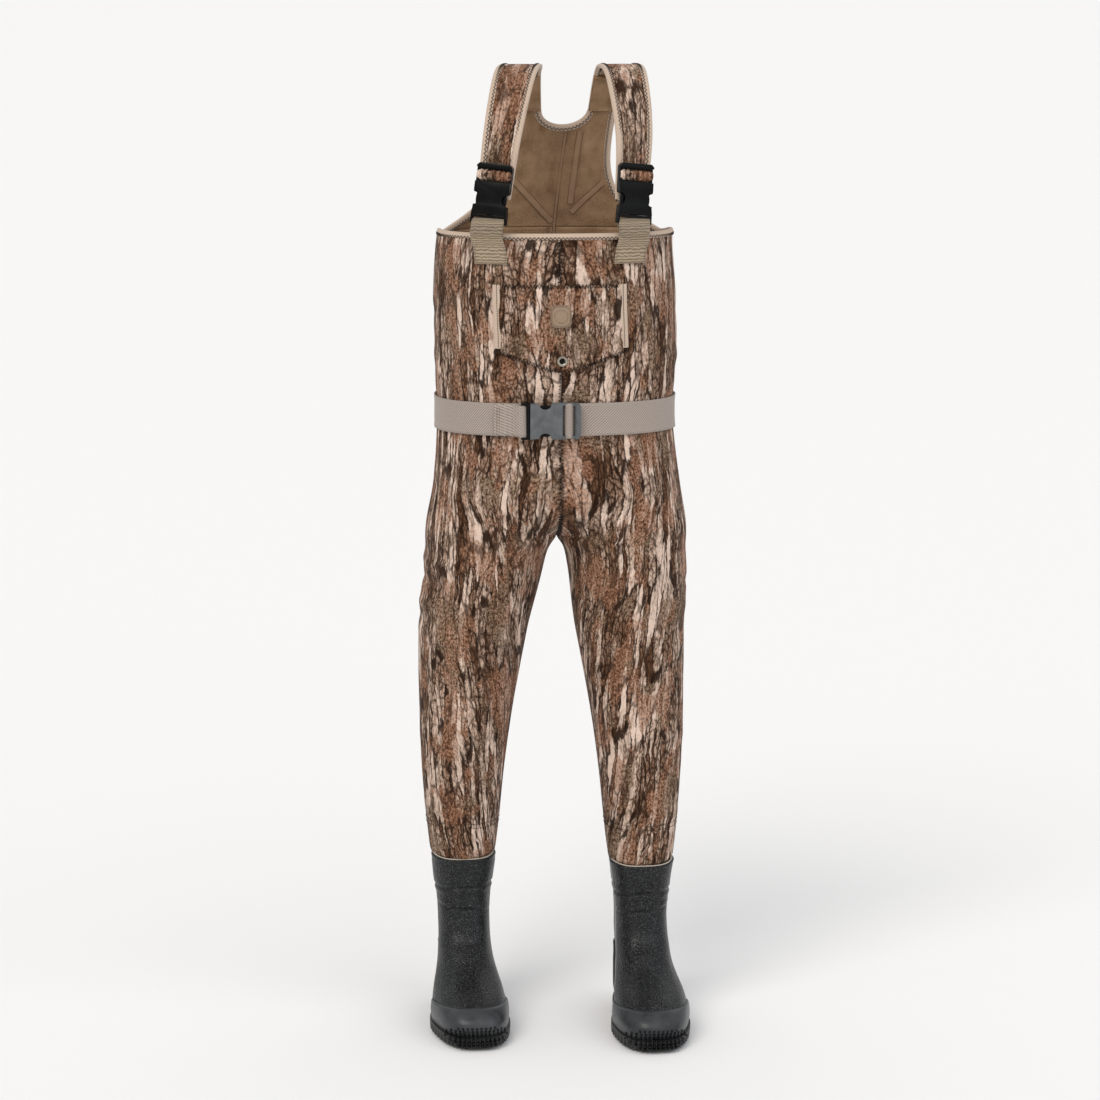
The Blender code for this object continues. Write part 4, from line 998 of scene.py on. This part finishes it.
def buildTab(word, side):
    matrix = shoulderFrame(side)
    turn = matrix.to_3x3()
    across, along, out = turn @ Vector((1, 0, 0)), turn @ Vector((0, 1, 0)), turn @ Vector((0, 0, 1))
    bar = matrix @ Vector((0, buckle["plugBarY"], 0.0055))
    flat = Vector((across.x, across.y, 0)).normalized()
    radius = tabBits["hook"]

    def face(z, lift):
        # the tab hangs straight down from the bar to its foot on the bib
        reach = tabBits["foot"][word] + leanAt(z) - bar.x + leanAt(z)
        x = bar.x - leanAt(z) + reach * ease(-z, -1.250, -1.205)
        return chestPoint(x, z, lift)
    front = [face(z, lift) for z, lift in ((1.2030, 0.0016), (1.213, 0.0018), (1.228, 0.0030),
                                           (1.2375, 0.0062), (1.2480, 0.0066))]
    hook = [bar + out * radius * math.cos(t) + along * radius * 1.15 * math.sin(t)
            for t in [math.pi * i / 8 for i in range(9)]]
    behind = [face(1.2600, 0.0002), face(1.2540, 0.0040)]
    over, under = bar + out * radius - along * 0.005, bar - out * radius - along * 0.004
    spine = smoothPath(front + [over] + hook + [under] + behind, 96)
    bm = ribbonMesh(spine, flat, lambda b: tabBits["half"] - 0.0012 * ease(b, 0.30, 0.55))
    tab = makeObject(word + "Tab", bm, [tabWeave], "torso", (word + "_front_tab",), 60)
    thicken(tab, 0.0017, offset=0.0)
    runs = []
    for z in (1.2052, 1.2325):
        line = [face(z, 0.0030 if z < 1.22 else 0.0050) + flat * s for s in (-0.0235, -0.008, 0.008, 0.0235)]
        runs += dashes(line, 0.0036, 0.7, lambda p: out, 0.0004)
    for s in (-0.0236, 0.0236):
        line = [face(z, lift) + flat * s for z, lift in ((1.2052, 0.0030), (1.220, 0.0031), (1.2325, 0.0050))]
        runs += dashes(line, 0.0036, 0.7, lambda p: out, 0.0004)
    threadPiece(word + "TabStitches", runs, 0.0010, paleThread, "torso")


def pocketPlace(a, b, lift):
    p = pocketBits
    x = (2 * a - 1) * (p["half"] - 0.007)
    bottom = p["tip"] + (p["side"] - p["tip"]) * (abs(x) / p["half"]) ** 1.3
    return chestPoint(x, p["top"] + (bottom - p["top"]) * b, lift)


def buildPocket():
    p = pocketBits
    top = p["thick"] + 0.0006

    def puff(a, b):
        sew = min(ease(min(b, 1 - b), 0.0, 0.07), 1.0)
        slack = 0.0010 * sew * (1 + 1.6 * noise.noise(Vector((a * 4, b * 3, 2))))
        return slack + 0.0012 * sew * ease(abs(2 * a - 1), 0.7, 1.0)
    bm = clothGrid(lambda a, b: pocketPlace(a, b, top), 90, 56,
                   lambda a, b: ((a - 0.5) * 0.182 + 9.13, pocketPlace(a, b, 0).z + 0.31), forwards, puff)
    pocket = makeObject("chestPocket", bm, [camo, lining], "torso", ("chest_pocket",), 80)
    thicken(pocket, p["thick"] * 0.85, inside=1)
    runs = []
    for b in (0.012, 0.985):
        path = [pocketPlace(i / 80, b, top + 0.0006) for i in range(2, 79)]
        if b > 0.5:     # the bottom row runs on past the pocket's corners
            first, final = (chestPoint(s * (p["half"] + 0.003), p["side"] + 0.002, 0.002) for s in (-1, 1))
            path = [first] + path + [final]
        runs += zigzag(path, lambda q: (Vector((0, 0, 1)), Vector((0, -1, 0))), 0.0052, 0.0062, 0.0004)
    threadPiece("pocketStitches", runs, 0.0021, darkThread, "torso")
    for word, side in sides.items():
        def strip(a, b, side=side):
            x = side * (p["half"] - p["bindWide"] + p["bindWide"] * a + 0.0012)
            z = p["top"] + 0.001 + (p["side"] + 0.003 - p["top"]) * b
            return chestPoint(x, z, top + 0.0012 + 0.0014 * math.sqrt(max(0.0, 1 - (2 * a - 1) ** 2)))
        bm = clothGrid(strip, 10, 60, lambda a, b: (a * p["bindWide"], b * 0.095), forwards)
        tape = makeObject(word + "PocketTape", bm, [binding], "torso",
                          (word + "_pocket_binding",), 70)
        thicken(tape, 0.0040)
        line = [strip(0.42, i / 30) + Vector((0, -0.0003, 0)) for i in range(31)]
        threadPiece(word + "PocketTapeStitches",
                    dashes(line, 0.0038, 0.62, lambda q: Vector((0, -1, 0)), 0.0003), 0.0010,
                    darkThread, "torso")
    middle = [chestPoint(0.0, z, top + 0.0010) for z in [p["top"] - 0.003 - i * 0.002 for i in range(11)]]
    threadPiece("pocketSeam", dashes(middle, 0.0034, 0.7, lambda q: Vector((0, -1, 0)), 0.0002), 0.0009,
                darkThread, "torso")

    def patch(u, v, lift):      # a square with its corners rounded off
        k = max(abs(u), abs(v)) / max(1e-6, (abs(u) ** 5 + abs(v) ** 5) ** 0.2)
        return chestPoint(u * k * 0.0150, 1.126 - v * k * 0.0165, lift)

    def patchFace(a, b):
        u, v = 2 * a - 1, 2 * b - 1
        return patch(u, v, top + 0.0022 + 0.0005 * (1 - max(abs(u), abs(v)) ** 8))
    bm = clothGrid(patchFace, 24, 24, lambda a, b: (a * 0.030, b * 0.033), forwards)
    badge = makeObject("plainPatch", bm, [patchWeave], "torso", ("pocket_patch",), 60)
    thicken(badge, 0.0016)
    runs = []
    for i in range(84):
        t = 2 * math.pi * i / 84
        k = 1 / (abs(math.cos(t)) ** 5 + abs(math.sin(t)) ** 5) ** 0.2
        u, v = math.cos(t) * k, math.sin(t) * k
        runs.append([patch(u * 0.87, v * 0.87, top + 0.0030), patch(u * 1.04, v * 1.04, top + 0.0024)])
    ring = []
    for i in range(73):
        t = 2 * math.pi * i / 72
        ring.append(chestPoint(0.0098 * math.cos(t), 1.126 + 0.0098 * math.sin(t), top + 0.0030))
    runs += [ring]
    threadPiece("patchBorder", runs, 0.0010, paleThread, "torso")
    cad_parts["drain_eyelet"].data.materials[0] = nickel
    # a near-black disc fills the eyelet's middle: painted shade for the dark inside of the hole
    hole = bmesh.new()
    face = chestPoint(0.0, p["eyelet"], top + 0.0016)
    bmesh.ops.create_cone(hole, cap_ends=True, segments=32, radius1=0.0032, radius2=0.0030, depth=0.0016,
                          matrix=Matrix.Translation(face) @ Matrix.Rotation(math.pi / 2, 4, "X"))
    makeObject("eyeletHole", hole, [nylon], "torso", (), 40)


def buildBelt():
    b0 = beltBits

    def shape(a, b):
        turn = b0["plugTurn"] * a
        z = cut["belt"] + b0["wide"] / 2 - b0["wide"] * b
        return trunkPoint(turn, z, 0.0032)

    def lift(a, b):
        selvedge = bump(b, 0.02, 0.03) + bump(b, 0.98, 0.03)
        return 0.0005 * noise.noise(Vector((a * 40, b * 2, 0))) + 0.0004 * selvedge
    bm = clothGrid(shape, 260, 12, lambda a, b: (a * 1.02, b * b0["wide"]), fromMiddle, lift)
    belt = makeObject("waistBelt", bm, [beltWeave], "torso", ("belt_webbing",), 60)
    thicken(belt, b0["thick"])
    # webbing doubled back round the plug's bar, sewn down beside it
    matrix = beltFrame()
    bar = matrix @ Vector((0, buckle["plugBarY"], 0.0055))
    out = matrix.to_3x3() @ Vector((0, 0, 1))
    along = matrix.to_3x3() @ Vector((0, 1, 0))
    r = 0.0040
    hook = [bar + out * r * math.cos(t) + along * r * math.sin(t)
            for t in [math.pi * i / 8 for i in range(9)]]
    tail = [chestPoint(x, cut["belt"], 0.0052) for x in (-0.098, -0.085, -0.070)]
    under = [bar - out * r - along * 0.006]
    spine = smoothPath(tail + [bar + out * r - along * 0.006] + hook + under, 60)
    bm = ribbonMesh(spine, Vector((0, 0, 1)), lambda b: b0["wide"] / 2 - 0.001 - 0.0022 * ease(b, 0.5, 0.9))
    bmesh.ops.recalc_face_normals(bm, faces=bm.faces)
    fold = makeObject("beltPlugFold", bm, [beltWeave], "torso", (), 60)
    thicken(fold, 0.0017, offset=0.0)
    runs = []
    for x in (-0.094, -0.090):
        line = [chestPoint(x, cut["belt"] + s, 0.0066) for s in (-0.021, -0.007, 0.007, 0.021)]
        runs += dashes(line, 0.0034, 0.7, lambda p: Vector((0, -1, 0)), 0.0003)
    threadPiece("beltFoldStitches", runs, 0.0009, paleThread, "torso")

    def keeper(a, b):
        bulge = 0.0042 + 0.0052 * ease(0.5 - abs(b - 0.5), 0.0, 0.12)
        return trunkPoint(math.pi - 0.10 + 0.20 * a, cut["belt"] + 0.034 - 0.068 * b, bulge)
    bm = clothGrid(keeper, 16, 40, lambda a, b: (a * 0.036 + 3.9, b * 0.075), fromMiddle)
    loop = makeObject("beltKeeper", bm, [camo], "torso", ("back_belt_keeper",), 70)
    thicken(loop, 0.0028)
    runs = []
    for b in (0.055, 0.945):
        line = [keeper(0.04 + 0.92 * i / 8, b) + Vector((0, 0.0002, 0)) for i in range(9)]
        runs += zigzag(line, lambda q: (Vector((0, 0, 1)), Vector((0, 1, 0))), 0.0034, 0.0040)
    threadPiece("keeperStitches", runs, 0.0011, darkThread, "torso")


seamBits = {"pitch": 0.0054, "wide": 0.0066, "frontThread": 0.0019, "backThread": 0.0017,
            "shinRows": (0.3115, 0.3185), "shinThread": 0.0009, "shinPitch": 0.0042, "shinShare": 0.66,
            "frontGap": 0.027, "backGap": 0.037, "crotchGap": 0.016}


def buildSeams():
    b = seamBits
    runs = []
    for top, bottom in ((cut["rim"] - 0.004, pocketBits["top"] + 0.004),
                        (pocketBits["tip"] - 0.004, cut["belt"] + b["frontGap"]),
                        (cut["belt"] - b["frontGap"], cut["crotch"] + b["crotchGap"])):
        n = 60
        path = []
        for i in range(n + 1):
            z = top + (bottom - top) * i / n
            p = trouserPoint(1, 0.0, z)
            path.append(Vector((leanAt(p.z), p.y + 0.0001, p.z)))
        runs += zigzag(path, lambda q: (Vector((1, 0, 0)), Vector((0, -1, 0))), b["pitch"], b["wide"])
    threadPiece("frontSeamStitches", runs, b["frontThread"], darkThread, "torso")
    runs = []
    for top, bottom in ((1.385, cut["belt"] + b["backGap"]),
                        (cut["belt"] - b["backGap"], cut["crotch"] + b["crotchGap"])):
        path = []
        for i in range(81):
            z = top + (bottom - top) * i / 80
            p = trouserPoint(1, 1.0, z)
            path.append(Vector((leanAt(p.z), p.y + 0.0002, p.z)))
        runs += zigzag(path, lambda q: (Vector((1, 0, 0)), Vector((0, 1, 0))), b["pitch"], b["wide"])
    threadPiece("backSeamStitches", runs, b["backThread"], darkThread, "torso")
    for word, side in sides.items():
        # the shin band's twin rows
        rows = []
        for z in b["shinRows"]:
            path = [trouserPoint(side, i / 120, z) for i in range(121)]
            shin = Vector((side * 0.14, cut["centreY"] + legY(side, z), z))
            rows += dashes(path, b["shinPitch"], b["shinShare"],
                           lambda p, shin=shin: (p - shin).normalized(), 0.0004)
        threadPiece(word + "ShinStitches", rows, b["shinThread"], darkThread, word + "_shin")


seamThread = plainKnit("brownSeamThread", "#6f563e", "#5a4430", 0.0009, coords="object")
seamTape = plainKnit("paleSeamTape", "#ae9074", "#8a6d53", 0.0014)
patchWeave = wovenTape("sandPatchTwill", "#a48e77", "#826c56", 0.0014, twill=True, strength=0.5)
buildHighBack()
buildStraps()
buildBoundEdges()
for sideWord, sideSign in sides.items():
    buildTab(sideWord, sideSign)
buildPocket()
buildBelt()
buildSeams()
print("straps, tapes, pocket and belt sewn")


buckleBits = {"edge": 0.0008, "loopInner": 0.0049, "loopThick": 0.0038, "gathers": 0.0105,
              "loopFoot": 0.0222, "loopHalf": 0.0268}


def polishedCopy(node, name, body, finish, edge):
    # the moulding itself, its edges broken as they leave the tool
    bm = bmesh.new()
    bm.from_mesh(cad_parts[node].data)
    for layer in list(bm.loops.layers.uv):
        bm.loops.layers.uv.remove(layer)
    bmesh.ops.remove_doubles(bm, verts=bm.verts, dist=1e-5)
    bmesh.ops.dissolve_limit(bm, angle_limit=math.radians(3), verts=bm.verts, edges=bm.edges)
    sharp = [e for e in bm.edges if len(e.link_faces) == 2 and e.calc_face_angle(0) > math.radians(40)]
    bmesh.ops.bevel(bm, geom=sharp, offset=edge, segments=3, profile=0.5, affect="EDGES", material=-1,
                    clamp_overlap=True)
    bmesh.ops.recalc_face_normals(bm, faces=bm.faces)
    return makeObject(name, bm, [finish], body, (node,), 35)


def buildBuckle(prefix, matrix, body, arms, armBodies, gathered, finish):
    b = buckleBits
    polishedCopy(prefix + "_buckle_body", prefix + "BuckleBody", body, finish, b["edge"])
    polishedCopy(prefix + "_buckle_plug", prefix + "BucklePlug", "torso", nylon, 0.0005)
    for arm, armBody in zip(arms, armBodies):
        polishedCopy(arm, prefix + arm.split("_")[-1].capitalize() + "Arm", armBody, nylon,
                     0.0006)
    turn = matrix.to_3x3()
    across = turn @ Vector((1, 0, 0))
    radius = b["loopInner"] + (b["loopThick"] if gathered else 0.0020)
    rise = 0.0030

    def shape(a, t):
        turnAt = math.pi * t
        # it swells over the rails
        half = b["loopFoot"] + (b["loopHalf"] - b["loopFoot"]) * ease(math.sin(turnAt), 0.45, 0.85)
        x = (2 * a - 1) * half
        return matrix @ Vector((x, buckle["barY"] - radius * math.cos(turnAt),
                                rise + radius * math.sin(turnAt)))

    def lift(a, t):
        if not gathered:
            return 0.0
        fold = math.sin(2 * math.pi * a * 2 * b["loopHalf"] / b["gathers"] + 1.3 * math.sin(9 * a))
        gather = (0.0011 * fold - 0.0003) * ease(math.sin(math.pi * t), 0.0, 0.4)
        return gather - 0.0009 * ease(abs(2 * a - 1), 0.86, 1.0)
    low = matrix @ Vector((0, buckle["barY"], 0))
    bm = clothGrid(shape, 48 if gathered else 12, 22, lambda a, t: (a * 0.045 + 6.1, t * 0.027 + 0.4),
                   lambda p: (p - low) - across * (p - low).dot(across), lift)
    loop = makeObject(prefix + "Loop", bm, [camo, lining] if gathered else [beltWeave], body,
                      (prefix + "_strap_loop",), 70)
    thicken(loop, b["loopThick"] if gathered else 0.0019, inside=1 if gathered else 0)


for sideWord, sideSign in sides.items():
    buildBuckle(sideWord, shoulderFrame(sideSign), sideWord + "_shoulder_catch",
                (sideWord + "_latch_arm_inner", sideWord + "_latch_arm_outer"),
                (sideWord + "_arm_inner", sideWord + "_arm_outer"), True, nylon)
# the belt buckle's grey body is painted reflection on black acetal
buildBuckle("belt", beltFrame(), "belt_catch", ("belt_latch_arm_lower", "belt_latch_arm_upper"),
            ("belt_arm_lower", "belt_arm_upper"), False, sheenGreyNylon)
print("buckles moulded")


boots = {
    "turn": {"left": 4.0, "right": 1.5}, "wall": 0.003, "columns": 132, "rowHigh": 0.0024,
    "toe": ((0.0203, -0.213), (0.038, -0.215), (0.052, -0.204), (0.066, -0.178), (0.080, -0.140),
            (0.096, -0.104), (0.116, -0.078), (0.140, -0.062), (0.170, -0.054), (0.210, -0.053),
            (0.2575, -0.0565)),
    "heel": ((0.0203, 0.064), (0.038, 0.067), (0.052, 0.068), (0.066, 0.067), (0.080, 0.065), (0.096, 0.061),
             (0.116, 0.057), (0.140, 0.054), (0.170, 0.053), (0.210, 0.053), (0.2575, 0.0565)),
    "ball": ((0.0203, 0.0590), (0.038, 0.0605), (0.052, 0.0590), (0.066, 0.0555), (0.080, 0.0505),
             (0.096, 0.0460), (0.116, 0.0435), (0.140, 0.0425), (0.170, 0.0425), (0.210, 0.0455),
             (0.2575, 0.0508)),
    "back": ((0.0203, 0.0425), (0.038, 0.0445), (0.052, 0.0440), (0.066, 0.0430), (0.080, 0.0415),
             (0.096, 0.0400), (0.116, 0.0410), (0.140, 0.0425), (0.170, 0.0425), (0.210, 0.0455),
             (0.2575, 0.0508)),
    "dip": 0.011, "capEdge": -0.105, "counterEdge": 0.018, "capLift": 0.0030, "soleHigh": 0.020,
    "notches": 55, "notchDeep": 0.0016, "lugRows": 24, "lugStep": 0.0110, "lugHigh": 0.0045,
    "knobRows": ((0.0085, 0.026), (0.0138, 0.038), (0.0190, 0.044), (0.0242, 0.043), (0.0292, 0.037),
                 (0.0340, 0.027)),
    "soleRings": ((0.0038, 0.0006), (0.0040, 0.0022), (0.0052, 0.0030), (0.0095, 0.0034), (0.0130, 0.0037),
                  (0.0140, 0.0038), (0.0185, 0.0038), (0.0206, 0.0036), (0.0210, 0.0028)),
}


def outlinePoint(side, turn, z, toe, heel, ball, back, inset, share):
    # a foot's outline at one height, the toe at turn 0
    along = (1 - math.cos(turn)) / 2
    y = toe + inset + (heel - toe - 2 * inset) * along
    waist = 0.004 * math.sin(math.pi * min(1.0, max(0.0, (along - 0.35) / 0.45)))
    half = ball + (back - ball) * ease(along, 0.30, 0.85) - waist - inset
    x = math.copysign(abs(math.sin(turn)) ** 0.64, math.sin(turn)) * half
    swing = -side * 0.007 * (1 - share) * (1 - ease(along, 0.0, 0.55))
    return Vector((x + swing, y, z))


def bootPoint(side, turn, z, inset=0.0):
    values = [curveThrough(boots[key], z) for key in ("toe", "heel", "ball", "back")]
    share = min(1.0, max(0.0, (z - 0.0203) / 0.0957))
    point = outlinePoint(side, turn, z, *values, inset, share)
    point.z -= boots["dip"] * ease(z, 0.205, 0.2625) * (1 + math.cos(turn)) / 2
    return point


def bootPlace(word, side):
    return (Matrix.Translation((side * 0.140, cut["centreY"] - side * cut["step"], 0))
            @ Matrix.Rotation(math.radians(boots["turn"][word]), 4, "Z"))


def evenTurn(a):
    # more rows of mesh where the outline bends at the toe and heel
    t = 2 * math.pi * a
    return t - 0.18 * math.sin(2 * t)


def buildBoot(word, side):
    place = bootPlace(word, side)
    middle = place @ Vector((0, 0, 0))
    top, low = cut["bootTop"][side], 0.0205

    def away(p):
        local = place.inverted() @ p
        y = local.y - 0.7 * max(-0.10, min(0.0, local.y))
        return place.to_3x3() @ Vector((local.x, y, 0.25 * max(0, -local.y - 0.06)))

    def shape(a, b):
        z = top + (low - top) * b
        return place @ bootPoint(side, evenTurn(a), z)

    def lift(a, b):
        z, t = top + (low - top) * b, evenTurn(a)
        front = (1 + math.cos(t)) / 2
        fold = top - 0.053 - 0.004 * front + 0.002 * math.sin(2 * t)
        total = 0.0013 * ease(z, fold - 0.003, fold + 0.004) - 0.0017 * bump(z, fold, 0.0022)
        total += 0.0013 * bump(z, fold - 0.006, 0.004)
        lower = 0.177 + 0.007 * math.sin(t) * side
        total -= 0.0018 * bump(z, lower, 0.0022) * ease(front, 0.55, 0.95)
        total += 0.0013 * bump(z, lower + 0.0055, 0.004) * ease(front, 0.55, 0.95)
        total += 0.0040 * bump(z, 0.110, 0.015) * front ** 10 - 0.0012 * bump(z, 0.136, 0.012) * front ** 4
        total += 0.0010 * bump(z, top - 0.003, 0.0022)
        total += 0.0010 * noise.noise(Vector((math.cos(t) * 1.6, math.sin(t) * 1.6, z * 26 + side * 3)))
        return total * ease(z, low, low + 0.006)
    rows = round((top - low) / boots["rowHigh"])
    bm = clothGrid(shape, boots["columns"], rows, lambda a, b: (a * 0.5, b * 0.24), away, lift)
    upperPiece = makeObject(word + "BootUpper", bm, [bootRubber, lining],
                            replaces=(word + "_boot_shaft", word + "_boot_foot"), smooth=80)
    thicken(upperPiece, boots["wall"], inside=1)
    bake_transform(upperPiece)

    # pale cut edge of the boot's lining, standing at the top
    ring = [place @ (bootPoint(side, 2 * math.pi * i / 96, top, 0.0012) + Vector((0, 0, 0.0006)))
            for i in range(96)]
    rings = []
    for i, p in enumerate(ring):
        out = (p - Vector((middle.x, middle.y, p.z))).normalized()
        rings.append([p + out * 0.0013 * math.cos(t) + Vector((0, 0, 0.0011 * math.sin(t)))
                      for t in [math.pi * k / 4 for k in range(8)]])
    makeObject(word + "BootRim", tubeMesh(rings, closed=True), [rimEdge], word + "_shin", (),
               80)

    def patchOn(name, turnAt, heights, across, down, replaces, finish, edgeRows, dip=-0.009):
        # a raised rubber shell moulded over the upper: its rim steps down to the surface
        bottom, ceiling = heights

        def shellShape(a, b):
            z = bottom + (ceiling + dip * (2 * a - 1) ** 2 - bottom) * b
            step = min(ease(min(a, 1 - a) * 2, 0.0, edgeRows), ease(1 - b, 0.0, edgeRows * 0.5))
            return place @ bootPoint(side, turnAt(a, z), z, -0.0004 - boots["capLift"] * (step ** 0.5))
        bm = clothGrid(shellShape, across, down, lambda a, b: (a * 0.2, b * 0.1), away)
        shell = makeObject(name, bm, [finish], word + "_foot", replaces, 80)
        return thicken(shell, 0.0030)

    def spread(y, z):
        toe, heel = curveThrough(boots["toe"], z), curveThrough(boots["heel"], z)
        return math.acos(max(-1.0, min(1.0, 1 - 2 * (y - toe) / (heel - toe))))
    patchOn(word + "ToeCap", lambda a, z: (2 * a - 1) * spread(boots["capEdge"], z), (0.0212, 0.0600), 84, 30,
            (word + "_toe_cap",), toeRubber, 0.10)
    patchOn(word + "HeelCounter",
            lambda a, z: math.pi + (2 * a - 1) * (math.pi - spread(boots["counterEdge"], z)),
            (0.0212, 0.112), 48, 40, (word + "_heel_counter",), bootRubber, 0.10, 0.0)

    # knobbly toe bumper, cut like a file
    knobs = bmesh.new()
    for z, wide in boots["knobRows"]:
        onSole = z < boots["soleHigh"]
        count = 2 * int(wide / 0.0056) + 1
        for i in range(count):
            x = wide * (2 * i / (count - 1) - 1)
            t = math.copysign(math.asin((abs(x) / curveThrough(boots["ball"], z)) ** (1 / 0.64)), x)
            if onSole:
                p = place @ outlinePoint(side, t, z, -0.2252, 0.0692, 0.0645, 0.0475, 0.0, 0.0)
            else:
                p = place @ bootPoint(side, t, z, -boots["capLift"] - 0.0003)
            skin = [place @ bootPoint(side, t + dt, z + dz, -0.0033)
                    for dt, dz in ((0.02, 0), (-0.02, 0), (0, 0.001), (0, -0.001))]
            beside, above = skin[0] - skin[1], skin[2] - skin[3]
            out = beside.cross(above).normalized()
            x = beside.normalized()
            turn = Matrix((x, out.cross(x), out)).transposed().to_4x4()
            stand = Matrix.Translation(p + out * 0.0006) @ turn @ Matrix.Rotation(math.pi / 4, 4, "Z")
            bmesh.ops.create_cone(knobs, cap_ends=True, segments=4, radius1=0.0034, radius2=0.0015,
                                  depth=0.0036, matrix=stand)
    makeObject(word + "ToeBumper", knobs, [knobRubber], word + "_foot", (), 30)

    # outsole: a notched wall round a shallow tray, with block lugs under it
    def soleRing(z, grow):
        points = []
        for i in range(330):
            t = 2 * math.pi * i / 330
            wave = ease(math.sin(t * boots["notches"]), -0.25, 0.25)
            notch = boots["notchDeep"] * wave if 0.003 < z < 0.0180 else 0.0
            points.append(place @ outlinePoint(side, t, z, -0.209 - 4 * grow, 0.066 + grow, 0.061 + grow,
                                               0.044 + grow, notch, 0.0))
        return points
    sole = tubeMesh([soleRing(z, grow) for z, grow in boots["soleRings"]])
    makeObject(word + "Outsole", sole, [treadRubber], word + "_foot", (word + "_outsole",),
               40)
    lugs = bmesh.new()
    for j in range(boots["lugRows"]):
        y = -0.200 + j * boots["lugStep"]
        along = (y + 0.209) / 0.275
        waist = 0.004 * math.sin(math.pi * min(1, max(0, (along - 0.35) / 0.45)))
        half = 0.061 + (0.044 - 0.061) * ease(along, 0.30, 0.85) - waist
        wide = half * math.sqrt(max(0.0, 1 - abs(2 * along - 1) ** 3.2)) - 0.006
        if wide < 0.008 or 0.005 < y < 0.016:
            continue
        for k in range(-3, 4):
            x = k * 0.0155 + (0.0077 if j % 2 else 0.0)
            if abs(x) < wide - 0.004:
                stand = Vector((x - side * 0.007 * (1 - ease(along, 0, 0.55)), y, boots["lugHigh"] / 2))
                bmesh.ops.create_cone(lugs, cap_ends=True, segments=6, radius1=0.0066, radius2=0.0076,
                                      depth=boots["lugHigh"], matrix=place @ Matrix.Translation(stand))
    makeObject(word + "SoleLugs", lugs, [treadRubber], word + "_foot", (), 30)
    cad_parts[word + "_insole"].data.materials[0] = boneFelt


knobRubber = mouldedRubber("polishedRubberKnobs", "#0a0a0b", "#161617", 0.0045, 0.22, 0.1)
rimEdge = plainKnit("undyedCottonEdge", "#c9bfb2", "#9f9486", 0.0009, coords="object")
for sideWord, sideSign in sides.items():
    buildBoot(sideWord, sideSign)
print("boots moulded")
